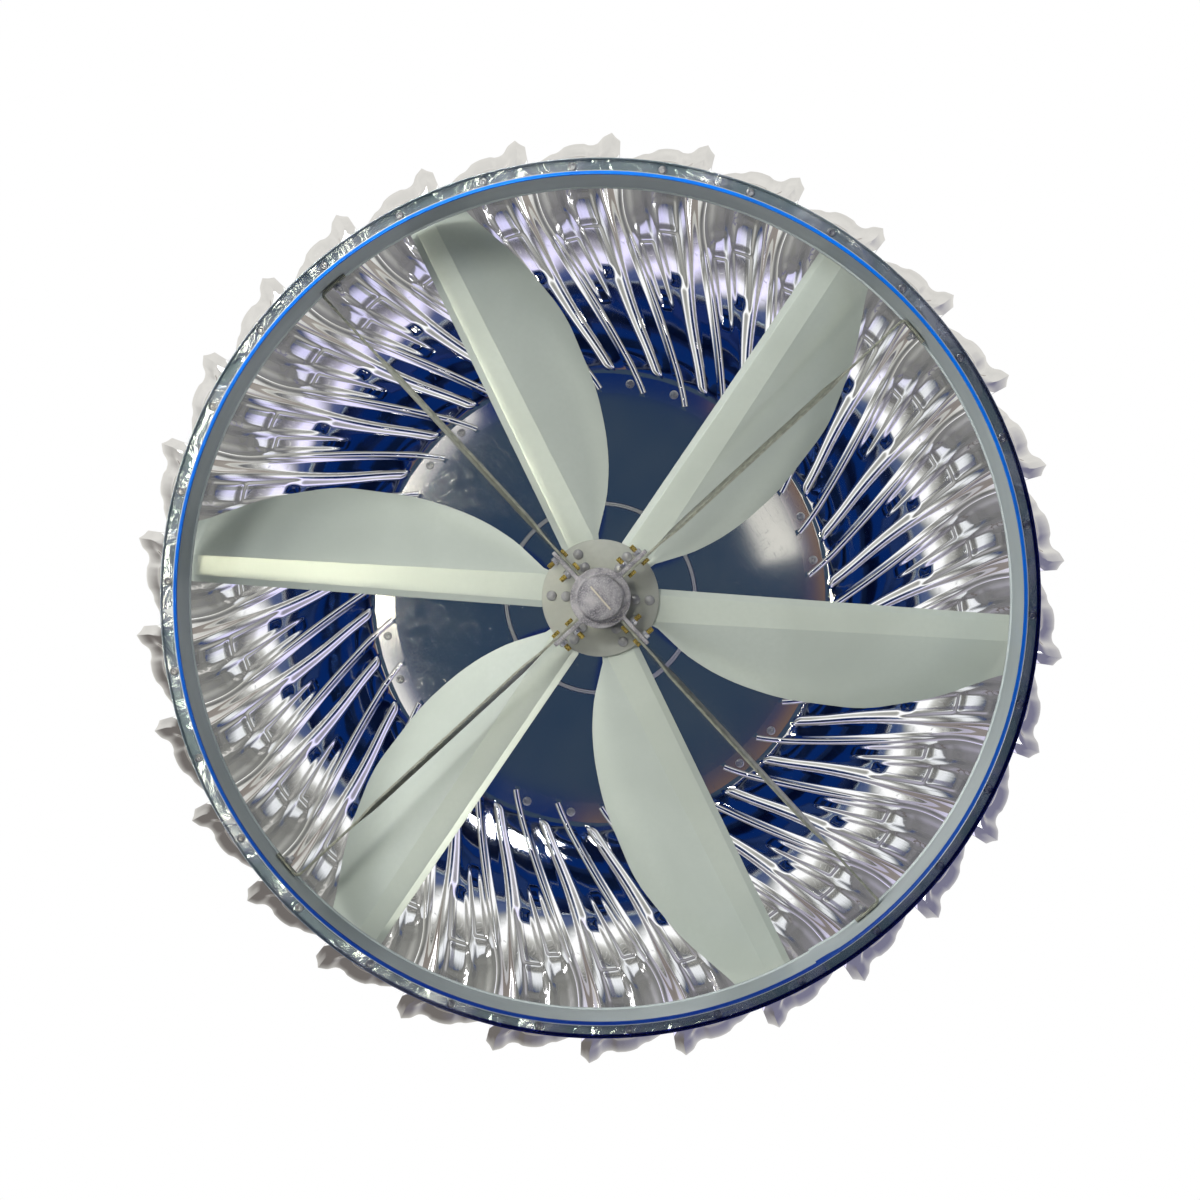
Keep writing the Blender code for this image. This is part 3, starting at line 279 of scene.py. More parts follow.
# Plated hardware: colour, blotches, roughness and how metallic
PLATINGS = {
    "yellow_plating": ((0.58, 0.44, 0.10), (0.26, 0.19, 0.05), 0.28, 0.7),
    "bright_plating": ((0.66, 0.66, 0.64), (0.42, 0.42, 0.42), 0.30, 0.9),
    "dull_plating": ((0.46, 0.46, 0.44), (0.34, 0.34, 0.33), 0.34, 0.45),
    "bar_plating": ((0.36, 0.37, 0.29), (0.24, 0.25, 0.20), 0.36, 0.4),
}
# Lamps: place, height on the axis that they point at, sides, power, colour, and if sheet mirrors them
LAMPS = {
    "lamp_low_left": ((-3.4, -1.8, -1.3), 0.3, (3.0, 2.4), 20.0, (0.95, 0.95, 1.0), False),
    "lamp_low_right": ((3.3, 1.4, -1.2), 0.3, (2.6, 2.0), 5.0, (0.97, 0.97, 1.0), True),
    "lamp_side": ((-2.8, -1.1, -2.45), 0.1, (1.6, 1.6), 84.0, (1.0, 0.99, 0.97), False),
    "lamp_key": ((-1.3, -1.25, -2.6), 0.1, (0.5, 0.5), 34.0, WHITE, False),
    "lamp_strip": ((-0.60, -0.10, -2.95), 0.1, (0.2, 0.2), 5.5, (1.0, 0.94, 0.72), True),
    "lamp_cap": ((-0.36, -1.26, -2.75), 0.1, (0.3, 0.3), 9.0, (1.0, 1.0, 0.98), True),
    "lamp_lip": ((1.45, 1.55, -2.35), 0.1, (0.4, 0.4), 7.0, (1.0, 0.97, 0.86), True),
    "lamp_high_left": ((-2.2, -2.6, 3.0), 0.3, (2.0, 2.0), 60.0, WHITE, True),
    "lamp_high_right": ((3.0, 1.6, 2.6), 0.3, (2.0, 2.0), 45.0, WHITE, True),
}


def ramp(value, ends):
    """0 before the first end, 1 past the second, and smooth between them."""
    share = min(max((value - ends[0]) / (ends[1] - ends[0]), 0.0), 1.0)
    return float(share * share * (3 - 2 * share))


def polar(radius, angle, height=0.0):
    """A point at an angle about the Z axis."""
    return Vector((radius * cos(angle), radius * sin(angle), height))


def arc(centre, radius, start, end, steps):
    """Points of a flat arc, with its angles in degrees."""
    angles = np.radians(np.linspace(start, end, steps))
    return [(centre[0] + radius * cos(a), centre[1] + radius * sin(a)) for a in angles]


def softened(corners, reach, steps=3):
    """A closed outline whose corners are rounded over the reach."""
    points = []
    for k, corner in enumerate(corners):
        here = Vector(corner)
        sides = []
        for other in (corners[k - 1], corners[(k + 1) % len(corners)]):
            edge = Vector(other) - here
            sides.append(here + edge.normalized() * min(reach, 0.45 * edge.length))
        for t in [step / steps for step in range(steps + 1)]:
            points.append(tuple((1 - t) ** 2 * sides[0] + 2 * t * (1 - t) * here + t ** 2 * sides[1]))
    return points


def soft_rectangle(low, high, reach, steps):
    return softened([low, (high[0], low[1]), high, (low[0], high[1])], reach, steps)


def turn_about_z(angle):
    return Matrix.Rotation(angle, 4, "Z")


def looking(direction, origin):
    """A frame at the origin whose Z axis points along the direction."""
    turn = Vector(direction).to_track_quat("Z", "Y").to_matrix().to_4x4()
    return Matrix.Translation(origin) @ turn


def new_object(name, data):
    thing = bpy.data.objects.new(name, data)
    bpy.context.scene.collection.objects.link(thing)
    return thing


def as_mesh(shape, name):
    """The mesh of a bmesh, which is freed."""
    mesh = bpy.data.meshes.new(name)
    shape.to_mesh(mesh)
    shape.free()
    return mesh


def shaded(mesh, smooth_angle=35.0):
    """The mesh, smooth but for its sharp edges."""
    mesh.shade_smooth()
    mesh.set_sharp_from_angle(angle=radians(smooth_angle))
    return mesh


def built(name, *forms, smooth_angle=35.0):
    """A closed and shaded mesh of several forms, each given as what adds it and its sizes."""
    shape = bmesh.new()
    for add, *sizes in forms:
        add(shape, *sizes)
    bmesh.ops.remove_doubles(shape, verts=shape.verts, dist=0.000001)
    bmesh.ops.recalc_face_normals(shape, faces=shape.faces)
    return shaded(as_mesh(shape, name), smooth_angle)


def joined(name, meshes):
    """Several meshes in one."""
    shape = bmesh.new()
    for mesh in meshes:
        shape.from_mesh(mesh)
    return shaded(as_mesh(shape, name))


def moved(mesh, matrix):
    """A moved copy of a mesh."""
    copy = mesh.copy()
    copy.transform(matrix)
    return copy


def evaluated(thing):
    """The plain mesh that an object's modifiers make. The object goes."""
    view = bpy.context.evaluated_depsgraph_get()
    mesh = bpy.data.meshes.new_from_object(thing.evaluated_get(view))
    thing.modifiers.clear()
    bpy.data.objects.remove(thing)
    return mesh


def modified(mesh, **modifiers):
    """The plain mesh that modifiers make of a mesh, each given as its kind and its settings."""
    thing = new_object("modified", mesh)
    for kind, settings in modifiers.items():
        modifier = thing.modifiers.new(kind, kind)
        for key, value in settings.items():
            setattr(modifier, key, value)
    return evaluated(thing)


def grown(name, start_mesh, tree, **sizes):
    """The plain mesh that a Geometry Nodes tree makes of a start mesh."""
    thing = new_object(name, start_mesh)
    modifier = thing.modifiers.new("shape", "NODES")
    modifier.node_group = tree
    for item in tree.interface.items_tree:
        key = item.name.lower().replace(" ", "_")
        if item.item_type == "SOCKET" and item.in_out == "INPUT" and key in sizes:
            modifier[item.identifier] = sizes[key]
    thing.update_tag()
    return evaluated(thing)


def skin(shape, rows):
    """Faces between rows of points."""
    for low, high in zip(rows, rows[1:]):
        for k in range(len(low) - 1):
            shape.faces.new((low[k], high[k], high[k + 1], low[k + 1]))


def add_strip(shape, sections, closed=False, on_axis=False):
    """Skins a row of sections, each a loop of points, and caps the ends of an open row. Sections that
    start and end on the axis need no faces there."""
    loops = [[shape.verts.new(point) for point in section] for section in sections]
    pairs = list(zip(loops, loops[1:] + loops[:1]))
    for low, high in pairs if closed else pairs[:-1]:
        for j in range(len(low) - on_axis):
            after = (j + 1) % len(low)
            shape.faces.new((low[j], low[after], high[after], high[j]))
    if not closed:
        shape.faces.new(loops[0])
        shape.faces.new(list(reversed(loops[-1])))


def add_turned(shape, profile, segments, on_axis=False):
    """A profile of (radius, height) points turned about the Z axis. It is a loop, or ends on the axis."""
    angles = [tau * k / segments for k in range(segments)]
    add_strip(shape, [[polar(r, angle, z) for r, z in profile] for angle in angles], True, on_axis)


def add_hexagon(shape, place, low, high, radius=HEX_RADIUS, chamfer=HEX_CHAMFER):
    """A hexagon head or nut with chamfered corners."""
    outer = radius * cos(pi / 6)
    sections = []
    for height, limit in (
        (low, outer), (low + chamfer, radius), (high - chamfer, radius), (high, outer),
    ):
        section = []
        for angle in [tau * k / 24 for k in range(24)]:
            within = (angle + pi / 6) % (tau / 6) - pi / 6
            section.append(place @ polar(min(outer / cos(within), limit), angle, height))
        sections.append(section)
    add_strip(shape, sections)


def add_thread(shape, place, low, high, radius=BOLT_RADIUS):
    """A threaded end: one helical ridge round a core, with a chamfered tip."""
    sides = 16
    steps = max(int((high - low) / THREAD_PITCH * 4), 4)
    depth = 0.12 * radius
    sections = []
    for row in range(steps + 1):
        height = low + (high - low) * row / steps
        tip = min((high - height) / THREAD_PITCH, 1.0)
        section = []
        for k in range(sides):
            ridge = abs(2 * ((height / THREAD_PITCH - k / sides) % 1.0) - 1)
            reach = radius - depth * ridge - depth * (1 - tip)
            section.append(place @ polar(reach, tau * k / sides, height))
        sections.append(section)
    add_strip(shape, sections)


def add_piece(name, mesh, material, body, nodes=()):
    """Puts a finished mesh on its body, for the nodes that it stands for."""
    thing = new_object(name, mesh)
    mesh.materials.clear()
    mesh.materials.append(material)
    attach(thing, body)
    if nodes:
        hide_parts(*nodes)
    return thing


def add_turned_piece(name, profile, segments, material, node):
    mesh = built(name, (add_turned, profile, segments))
    add_piece(name, mesh, material, TURNING, [node])


def numbered(name, count):
    return [f"{name}_{k + 1}" for k in range(count)]


def is_output(value):
    return isinstance(value, bpy.types.NodeSocket)


def feed(node, feeds):
    """Sets or links a node's inputs, by name or number."""
    for place, value in feeds.items():
        if is_output(value):
            node.id_data.links.new(value, node.inputs[place])
        else:
            node.inputs[place].default_value = value


def put(kind, feeds, out=0, tree=None, **settings):
    """Adds a node with its settings and inputs, and returns one of its outputs. Where another node
    feeds it, it goes into that one's tree."""
    tree = tree or next(value.id_data for value in feeds.values() if is_output(value))
    node = tree.nodes.new(kind)
    for key, value in settings.items():
        setattr(node, key, value)
    feed(node, feeds)
    return node.outputs[out]


def calc(operation, *values):
    """One Math node."""
    return put("ShaderNodeMath", dict(enumerate(values)), operation=operation)


def axes(vector):
    """The X, Y and Z of a vector."""
    return put("ShaderNodeSeparateXYZ", {0: vector}).node.outputs


def node_polar(radius, angle, height):
    """What polar does, in nodes."""
    across = calc("MULTIPLY", radius, calc("COSINE", angle))
    along = calc("MULTIPLY", radius, calc("SINE", angle))
    return put("ShaderNodeCombineXYZ", {0: across, 1: along, 2: height})


def spread(value, low, high, top=1.0, kind="LINEAR"):
    """A value's share of the way from low to high, up to the top."""
    feeds = {"Value": value, "From Min": low, "From Max": high, "To Max": top}
    return put("ShaderNodeMapRange", feeds, interpolation_type=kind)


def start_tree(name, inputs, shares=()):
    """A node tree with named inputs, each with its number or else its kind. It gives the named shares,
    or where none are named, a shape."""
    tree = bpy.data.node_groups.new(name, "ShaderNodeTree" if shares else "GeometryNodeTree")
    number_types = {float: "NodeSocketFloat", int: "NodeSocketInt"}
    for label, value in inputs.items():
        socket_type = number_types.get(type(value), value)
        socket = tree.interface.new_socket(label, in_out="INPUT", socket_type=socket_type)
        if socket_type != value:
            socket.default_value = value
    for label in shares or ["Geometry"]:
        socket_type = "NodeSocketFloat" if shares else "NodeSocketGeometry"
        tree.interface.new_socket(label, in_out="OUTPUT", socket_type=socket_type)
    return tree, tree.nodes.new("NodeGroupInput").outputs, tree.nodes.new("NodeGroupOutput")


def finish_shape_tree(result, geometry, material):
    """The end of a Geometry Nodes tree: plain faces in their material."""
    plain = put("GeometryNodeRealizeInstances", {"Geometry": geometry})
    coated = put("GeometryNodeSetMaterial", {"Geometry": plain, "Material": material})
    feed(result, {"Geometry": coated})
    return result.id_data


def copies_round_axis_tree(material):
    """Copies of the start mesh set round the Z axis: rivets, screws and stays."""
    tree, given, result = start_tree(
        "copies_round_axis",
        {"Geometry": "NodeSocketGeometry", "Count": 6, "First Angle": 0.0, "Circle Radius": 0.0,
         "Level": 0.0, "Turn Jitter": 0.0, "Seed": 1},
    )
    line = put("GeometryNodeMeshLine", {"Count": given["Count"], "Offset": (0.0, 0.0, 0.0)})
    step = calc("DIVIDE", tau, given["Count"])
    index = put("GeometryNodeInputIndex", {}, tree=tree)
    angle = calc("MULTIPLY_ADD", index, step, given["First Angle"])
    spot = node_polar(given["Circle Radius"], angle, given["Level"])
    placed = put("GeometryNodeSetPosition", {"Geometry": line, "Position": spot})
    jitter = put(
        "FunctionNodeRandomValue",
        {"Min": calc("MULTIPLY", given["Turn Jitter"], -1.0), "Max": given["Turn Jitter"],
         "Seed": given["Seed"]}, out="Value", data_type="FLOAT",
    )
    spin = put("ShaderNodeCombineXYZ", {2: calc("ADD", angle, jitter)})
    copies = put("GeometryNodeInstanceOnPoints",
                 {"Points": placed, "Instance": given["Geometry"], "Rotation": spin})
    return finish_shape_tree(result, copies, material)


def sheet_vane_tree(material):
    """Sweeps a vane's cross-section along its outline, presses its flutes and rib, thickens it and
    beads its inner edge. The start mesh is the outline, one point a row. The cross-section's object
    has one point a column."""
    tree, given, result = start_tree(
        "sheet_vane",
        {"Geometry": "NodeSocketGeometry", "Cross Section": "NodeSocketObject", "Rows": 10,
         "Columns": 10, "Turn": 0.0, "Sheet": VANE_SHEET, "Bead Radius": VANE_BEAD_RADIUS,
         "Flute Depth": FLUTE_DEPTH, "Rib Height": RIB_HEIGHT, "Crinkle": 0.05, "Seed": 0.0},
    )
    section = put("GeometryNodeObjectInfo", {"Object": given["Cross Section"]}, out="Geometry")
    grid = put("GeometryNodeMeshGrid",
               {"Vertices X": given["Rows"], "Vertices Y": given["Columns"]}, out="Mesh")
    index = put("GeometryNodeInputIndex", {}, tree=tree)
    row = calc("FLOOR", calc("DIVIDE", calc("ADD", index, 0.5), given["Columns"]))
    column = calc("SUBTRACT", index, calc("MULTIPLY", row, given["Columns"]))

    def sampled(rail, field, place, data_type="FLOAT"):
        return put("GeometryNodeSampleIndex", {0: rail, 1: field, 2: place},
                   data_type=data_type, domain="POINT")

    def named(name, rail=given["Geometry"], place=row):
        """A named value of the outline at the row, or of another rail at a place."""
        field = put("GeometryNodeInputNamedAttribute", {"Name": name}, 0, tree, data_type="FLOAT")
        return sampled(rail, field, place)

    def compared(field, operation, limit):
        """Whether a field at the points passes a limit."""
        field = put("GeometryNodeFieldOnDomain", {0: field}, domain="POINT", data_type="FLOAT")
        return put("FunctionNodeCompare", {0: field, 1: limit}, data_type="FLOAT",
                   operation=operation)

    position = put("GeometryNodeInputPosition", {}, tree=tree)
    spot = axes(sampled(given["Geometry"], position, row, "FLOAT_VECTOR"))
    radius, height = spot[0], spot[2]
    turn = named("angle", section, column)
    angle = calc("MULTIPLY_ADD", turn, named("width"), given["Turn"])
    angle = calc("ADD", angle, named("twist"))
    # Crinkles of the pressed flutes
    plane = put("ShaderNodeCombineXYZ", {0: calc("MULTIPLY", turn, radius), 1: height})
    crinkle = put("ShaderNodeTexNoise",
                  {"Vector": plane, "W": given["Seed"], "Scale": 70.0, "Detail": 1.0},
                  noise_dimensions="4D")
    crinkle = calc("MULTIPLY", calc("SUBTRACT", crinkle, 0.5), given["Crinkle"])
    crinkle = calc("MULTIPLY_ADD", crinkle, named("crinkle"), 1.0)
    pads = []
    for label, flute in (("flute_a", FLUTE_A), ("flute_b", FLUTE_B)):
        offset = calc("ABSOLUTE", calc("SUBTRACT", turn, radians(flute[0])))
        inside = calc("SUBTRACT", named(label), offset)
        inside = spread(inside, 0.0, radians(FLUTE_EDGE), kind="SMOOTHSTEP")
        pads.append(calc("MULTIPLY", inside, named(label + "_depth")))
    flutes = calc("MULTIPLY", calc("ADD", *pads), crinkle)
    flutes = calc("MULTIPLY", flutes, given["Flute Depth"])
    # The rib, gentle on one side and steep on the other
    past_rib = calc("SUBTRACT", turn, named("rib_centre"))
    sides = [
        calc("MULTIPLY_ADD", past_rib, way / radians(side), 1.0)
        for way, side in zip((1, -1), RIB_SIDES)
    ]
    rib = spread(calc("MINIMUM", *sides), 0.0, 1.0, kind="SMOOTHSTEP")
    rib = calc("MULTIPLY", rib, named("rib"))
    pressing = calc("SUBTRACT", calc("MULTIPLY", rib, given["Rib Height"]), flutes)
    inset = calc("MULTIPLY", named("relief"), named("inset", section, column))
    depth = calc("ADD", inset, pressing)
    out, up = named("out"), named("up")
    radius = calc("SUBTRACT", radius, calc("MULTIPLY", depth, out))
    height = calc("SUBTRACT", height, calc("MULTIPLY", depth, up))
    place = node_polar(radius, angle, height)
    face = put("GeometryNodeSetPosition", {"Geometry": grid, "Position": place})
    inner = put("GeometryNodeExtrudeMesh",
                {"Mesh": face, "Offset Scale": given["Sheet"], "Individual": False}, mode="FACES")
    outer = put("GeometryNodeFlipFaces", {"Mesh": face})
    # The rolled edge, a rod along the first column
    rolled = put("FunctionNodeBooleanMath", {
        0: compared(column, "LESS_THAN", 0.25), 1: compared(named("rolled"), "GREATER_THAN", 0.75),
    }, operation="AND")
    back = calc("MULTIPLY", given["Bead Radius"], -1.0)
    shift = node_polar(calc("MULTIPLY", out, back), angle, calc("MULTIPLY", up, back))
    shifted = put("GeometryNodeSetPosition", {"Geometry": face, "Offset": shift})
    edge = put("GeometryNodeMeshToCurve", {"Mesh": shifted, "Selection": rolled})
    ring = put("GeometryNodeCurvePrimitiveCircle",
               {"Resolution": 10, "Radius": given["Bead Radius"]}, mode="RADIUS")
    bead = put("GeometryNodeCurveToMesh",
               {"Curve": edge, "Profile Curve": ring, "Fill Caps": True})
    join = tree.nodes.new("GeometryNodeJoinGeometry")
    for part in (inner, bead):
        marked = put("GeometryNodeStoreNamedAttribute",
                     {"Geometry": part, "Name": "inside", "Value": 1.0}, data_type="FLOAT", domain="FACE")
        feed(join, {0: marked})
    feed(join, {0: outer})
    return finish_shape_tree(result, join.outputs[0], material)


def outline_point(share, handles, drop, rise):
    """Radius, height and outward direction on the vanes' outline, from the equator to an end. The
    outline there is a curve from (0, 0) to (1, 1) with two handles."""
    points = np.array([(0, 0), *handles, (1, 1)], float)
    rest = 1 - share
    place = np.array((rest ** 3, 3 * rest ** 2 * share, 3 * rest * share ** 2, share ** 3)) @ points
    slope = np.array((3 * rest ** 2, 6 * rest * share, 3 * share ** 2)) @ np.diff(points, axis=0)
    outward = Vector((abs(slope[1] * rise), slope[0] * drop * copysign(1, rise)))
    return VANE_BULGE - place[0] * drop, VANE_EQUATOR + place[1] * rise, outward.normalized()


def vane_twist(radius):
    closing = (VANE_BULGE - radius) / (VANE_BULGE - VANE_TOP_BEND)
    return VANE_TWIST * max(closing, 0.0) ** VANE_TWIST_POWER


def pad_shares(share, pads):
    """How wide and how deep a flute is there, as shares. Its pads end in ramps and round corners."""
    first, last = pads[0][0], pads[-1][1]
    for low, high, ramp_in, ramp_out, deep in pads:
        if low <= share < high:
            corner = min(share - first, last - share, FLUTE_CORNER) / FLUTE_CORNER
            into = 0.0 if low == first else FLUTE_BOTTOM
            out = 0.0 if high == last else FLUTE_BOTTOM
            entry = into + (deep - into) * ramp(share, (low, low + ramp_in))
            leaving = out + (deep - out) * ramp(-share, (-high, ramp_out - high))
            return sqrt(1 - (1 - corner) ** 2), min(entry, leaving)
    return -1.0, 0.0


def rail_mesh(name, rows):
    """A mesh of loose points with a float attribute for each named value."""
    mesh = bpy.data.meshes.new(name)
    mesh.from_pydata([row.pop("place") for row in rows], [], [])
    for key in rows[0]:
        values = mesh.attributes.new(key, "FLOAT", "POINT").data
        values.foreach_set("value", [float(row[key]) for row in rows])
    return mesh


def vane_outline():
    """Rows up a vane, as a mesh of loose points that carry what the vane's tree reads."""
    rows = []

    def add_row(radius, height, outward, relief, twist, rib, share):
        drift = ramp(share, RIB_DRIFT_SHARES)
        wide_a, deep_a = pad_shares(share, FLUTE_A_PADS)
        wide_b, deep_b = pad_shares(share, FLUTE_B_PADS)
        rows.append({
            "place": (radius, 0.0, height), "out": outward[0], "up": outward[1], "relief": relief,
            "twist": twist, "width": TAB_WIDTH_SHARE + relief * (1 - TAB_WIDTH_SHARE), "rib": rib,
            "crinkle": 1 - 0.8 * ramp(share, CRINKLE_SHARES), "rolled": radius > VANE_BEAD_END,
            "rib_centre": radians(RIB_CENTRE[0] + (RIB_CENTRE[1] - RIB_CENTRE[0]) * drift),
            "flute_a": radians(FLUTE_A[1] * wide_a), "flute_a_depth": deep_a,
            "flute_b": radians(FLUTE_B[1] * wide_b), "flute_b_depth": deep_b,
        })

    for share in np.linspace(0.0, 1.0, 4):
        radius = VANE_RING_BEND - VANE_RING_TAB * (1 - share)
        add_row(radius, VANE_BASE, (0, -1), 0.0, 0.0, 0.0, -1.0)
    drop = VANE_BULGE - VANE_RING_BEND
    for share in np.linspace(0.02, 0.98, 30):
        point = outline_point(1 - share, LOWER_HANDLE_SHARES, drop, VANE_BASE - VANE_EQUATOR)
        relief = ramp(share, (0.0, LOWER_RELIEF_SHARE))
        add_row(*point, relief, 0.0, ramp(share, RIB_START_SHARES), share - 1)
    drop = VANE_BULGE - VANE_TOP_BEND
    upper = np.concatenate((np.linspace(0.0, 0.25, 11), np.linspace(0.27, 0.75, 81),
                            np.linspace(0.765, 0.97, 12), (0.978, 0.988, 1.0)))
    for share in upper:
        point = outline_point(share, UPPER_HANDLE_SHARES, drop, VANE_TOP - VANE_EQUATOR)
        relief = 1 - (1 - PANEL_RELIEF_SHARE) * ramp(share, UPPER_RELIEF_SHARES)
        relief -= PANEL_RELIEF_SHARE * ramp(share, PANEL_END_SHARES)
        add_row(*point, relief, vane_twist(point[0]), share < RIB_END_SHARE, share)
    for share in np.linspace(0.0, 1.0, 13)[1:]:
        radius = VANE_TOP_BEND - VANE_TOP_TAB * share
        add_row(radius, VANE_TOP, (0, 1), 0.0, vane_twist(radius), 0.0, 1.0)
        rows[-1]["width"] -= TAB_NARROWING * ramp(share, TAB_NARROWING_SHARES)
    return rail_mesh("vane_outline", rows)


def vane_section():
    """Columns across a vane: angle from its inner edge, and inset."""
    crest = SECTION_DEGREES[4]
    columns = []
    for degree in np.concatenate((np.linspace(0, crest, 49), np.linspace(10.98, 11.9, 5))):
        reach = min(0.7, degree, abs(crest - degree))
        near = (degree - reach, degree, degree + reach)
        inset = np.mean(np.interp(near, SECTION_DEGREES, SECTION_INSETS))
        columns.append({"place": (degree, 0.0, 0.0), "angle": radians(degree), "inset": inset})
    return rail_mesh("vane_section", columns)


def make_vanes(polished):
    outline = vane_outline()
    section = vane_section()
    rail = new_object("vane_section", section)
    tree = sheet_vane_tree(polished)
    for number in range(VANE_COUNT):
        name = f"vane_{number + 1:02d}"
        mesh = grown(
            name, outline, tree, cross_section=rail, rows=len(outline.vertices),
            columns=len(section.vertices), turn=VANE_START_ANGLE + tau * number / VANE_COUNT,
            seed=float(number),
        )
        mesh = built(name, (bmesh.types.BMesh.from_mesh, mesh), smooth_angle=50.0)
        add_piece(name + "_sheet", mesh, polished, TURNING, [name])
    bpy.data.objects.remove(rail)


def rivet_mesh(name, radius, height, depth, crown):
    """A rivet's head with its crown, and its stem down to the depth. Its seat is at zero."""
    profile = [(0.0, -depth), (radius * 0.55, -depth), (radius * 0.55, 0.0), (radius, 0.0)]
    profile += arc((radius - height * 0.45, height * 0.45), height * 0.45, 0, 70, 4)
    profile += [(radius * share, height * rise) for share, rise in crown]
    return built(name, (add_turned, profile, 20, True))


def make_rivets(finish, round_axis):
    """All rivets that turn with the rotor."""
    domed, drawn = [
        rivet_mesh("rivet", RIVET_HEAD, RIVET_HEIGHT, RIVET_HEIGHT, crown) for crown in (DOMED, DRAWN)
    ]
    small = rivet_mesh("ring_rivet", RING_RIVET_HEAD, RIVET_HEIGHT, RIVET_HEIGHT, DRAWN)
    tail = rivet_mesh("rivet_tail", *RIVET_TAIL, DOMED)
    bend = asin((BLADE_EDGE[1] + BLADE_LIP) / BLADE_TIP)
    fold = asin(BLADE_FOLD[1] / BLADE_TIP)
    reach = BLADE_TIP * cos((fold - bend) / 2) - BLADE_SHEET
    tip = moved(drawn, looking((-1, 0, 0), (reach, 0, BLADE_LEVEL + TIP_RIVET_RISE)))
    under = moved(domed, UPSIDE_DOWN)
    top = (VANE_COUNT, TOP_RIVET_CIRCLE, TOP_RIVET_ANGLE)
    # Rows of rivets: mesh, count, circle, first angle, level, and how far each may be turned
    pieces = {
        "hub_rivets": [
            (under, BLADE_COUNT, circle, HUB_RIVET_ANGLE, hub_low.z - TOUCH_GAP, 1.5)
            for circle in HUB_RIVET_CIRCLES
        ],
        "ring_rivets": [(moved(small, UPSIDE_DOWN), VANE_COUNT, RING_RIVET_CIRCLE, RING_RIVET_ANGLE,
                         RING_FLANGE - TOUCH_GAP, 1.5)],
        "vane_top_rivets": [(moved(drawn, UPSIDE_DOWN), *top, VANE_TOP - VANE_SHEET, 1.5),
                            (tail, *top, cover_low.z + COVER_SHEET, 1.5)],
        "blade_tip_rivets": [(tip, BLADE_COUNT, 0.0, BLADE_ANGLE + (bend + fold) / 2, 0.0, 0.0)],
    }
    for name, rows in pieces.items():
        copies = [
            grown(name, mesh, round_axis, count=count, circle_radius=circle, first_angle=angle,
                  level=level, turn_jitter=jitter)
            for mesh, count, circle, angle, level, jitter in rows
        ]
        material = finish["dull_plating" if name == "hub_rivets" else "bright_plating"]
        add_piece(name, joined(name, copies), material, TURNING)


def blade_rows():
    """Rows of points along a blade, each across it from its lip to its flap's edge."""
    span = BLADE_TIP - HUB_RADIUS
    rows = []
    for share in (((BLADE_ROOT - HUB_RADIUS) / span), -0.02, *np.linspace(0, 0.985, 44), 1.0):
        held = max(share, 0.0)
        at_root = ramp(-share, (0.0, 0.03))
        edge = np.interp(held, (0, 1), BLADE_EDGE) + BLADE_ROOT_NARROWING * at_root
        fold = np.interp(held, (0, 1), BLADE_FOLD) - BLADE_ROOT_NARROWING * at_root
        near = np.array((-0.05, -0.025, 0.0, 0.025, 0.05)) * min(1.0, 8 * held)
        near = np.clip(share + near, -0.08, 1.0)
        width = BLADE_FLAP_WIDTH * np.mean(np.interp(near, BLADE_STATION_SHARES, BLADE_FLAP_SHARES))
        lip = BLADE_LIP * tan(BLADE_LIP_TILT) * (1 - at_root)
        bend = edge + BLADE_LIP
        flap_rise = width * tan(BLADE_FLAP_TILT)
        across = [(edge + BLADE_LIP * t, lip * rise) for t, rise in LIP_SHARES]
        across += [(bend + (fold - bend) * t, 0.0) for t in STRIP_SHARES]
        across += [(fold + width * t, flap_rise * (0.68 * t + 0.32 * t * t)) for t in FLAP_SHARES]
        along = [HUB_RADIUS + share * span] * len(across)
        if share == 1.0:
            along = [sqrt(BLADE_TIP ** 2 - side ** 2) for side, rise in across]
        rows.append([(x, side, BLADE_LEVEL + rise) for x, (side, rise) in zip(along, across)])
    return rows


def blade_mesh():
    """One fan blade: a lip, a flat strip that is riveted at both ends, and a leaf shaped flap."""
    shape = bmesh.new()
    grid = [[shape.verts.new(point) for point in row] for row in blade_rows()]
    tab = [grid[-1][TAB_COLUMNS]]
    for height in TAB_HEIGHTS:
        row = []
        for base in tab[0]:
            flat = base.co.xy.normalized() * BLADE_TIP
            row.append(shape.verts.new((flat.x, flat.y, base.co.z + height)))
        tab.append(row)
    skin(shape, grid)
    skin(shape, tab)
    shape.normal_update()
    return as_mesh(shape, "fan_blade")


def make_blades(sheet):
    solid = {"thickness": BLADE_SHEET, "offset": 1, "use_even_offset": True}
    plain = modified(blade_mesh(), SOLIDIFY=solid)
    plain = built("fan_blade", (bmesh.types.BMesh.from_mesh, plain), smooth_angle=9.0)
    for k, node in enumerate(numbered("fan_blade", BLADE_COUNT)):
        mesh = moved(plain, turn_about_z(BLADE_ANGLE + tau * k / BLADE_COUNT))
        add_piece(f"blade_{k + 1}", mesh, sheet, TURNING, [node])


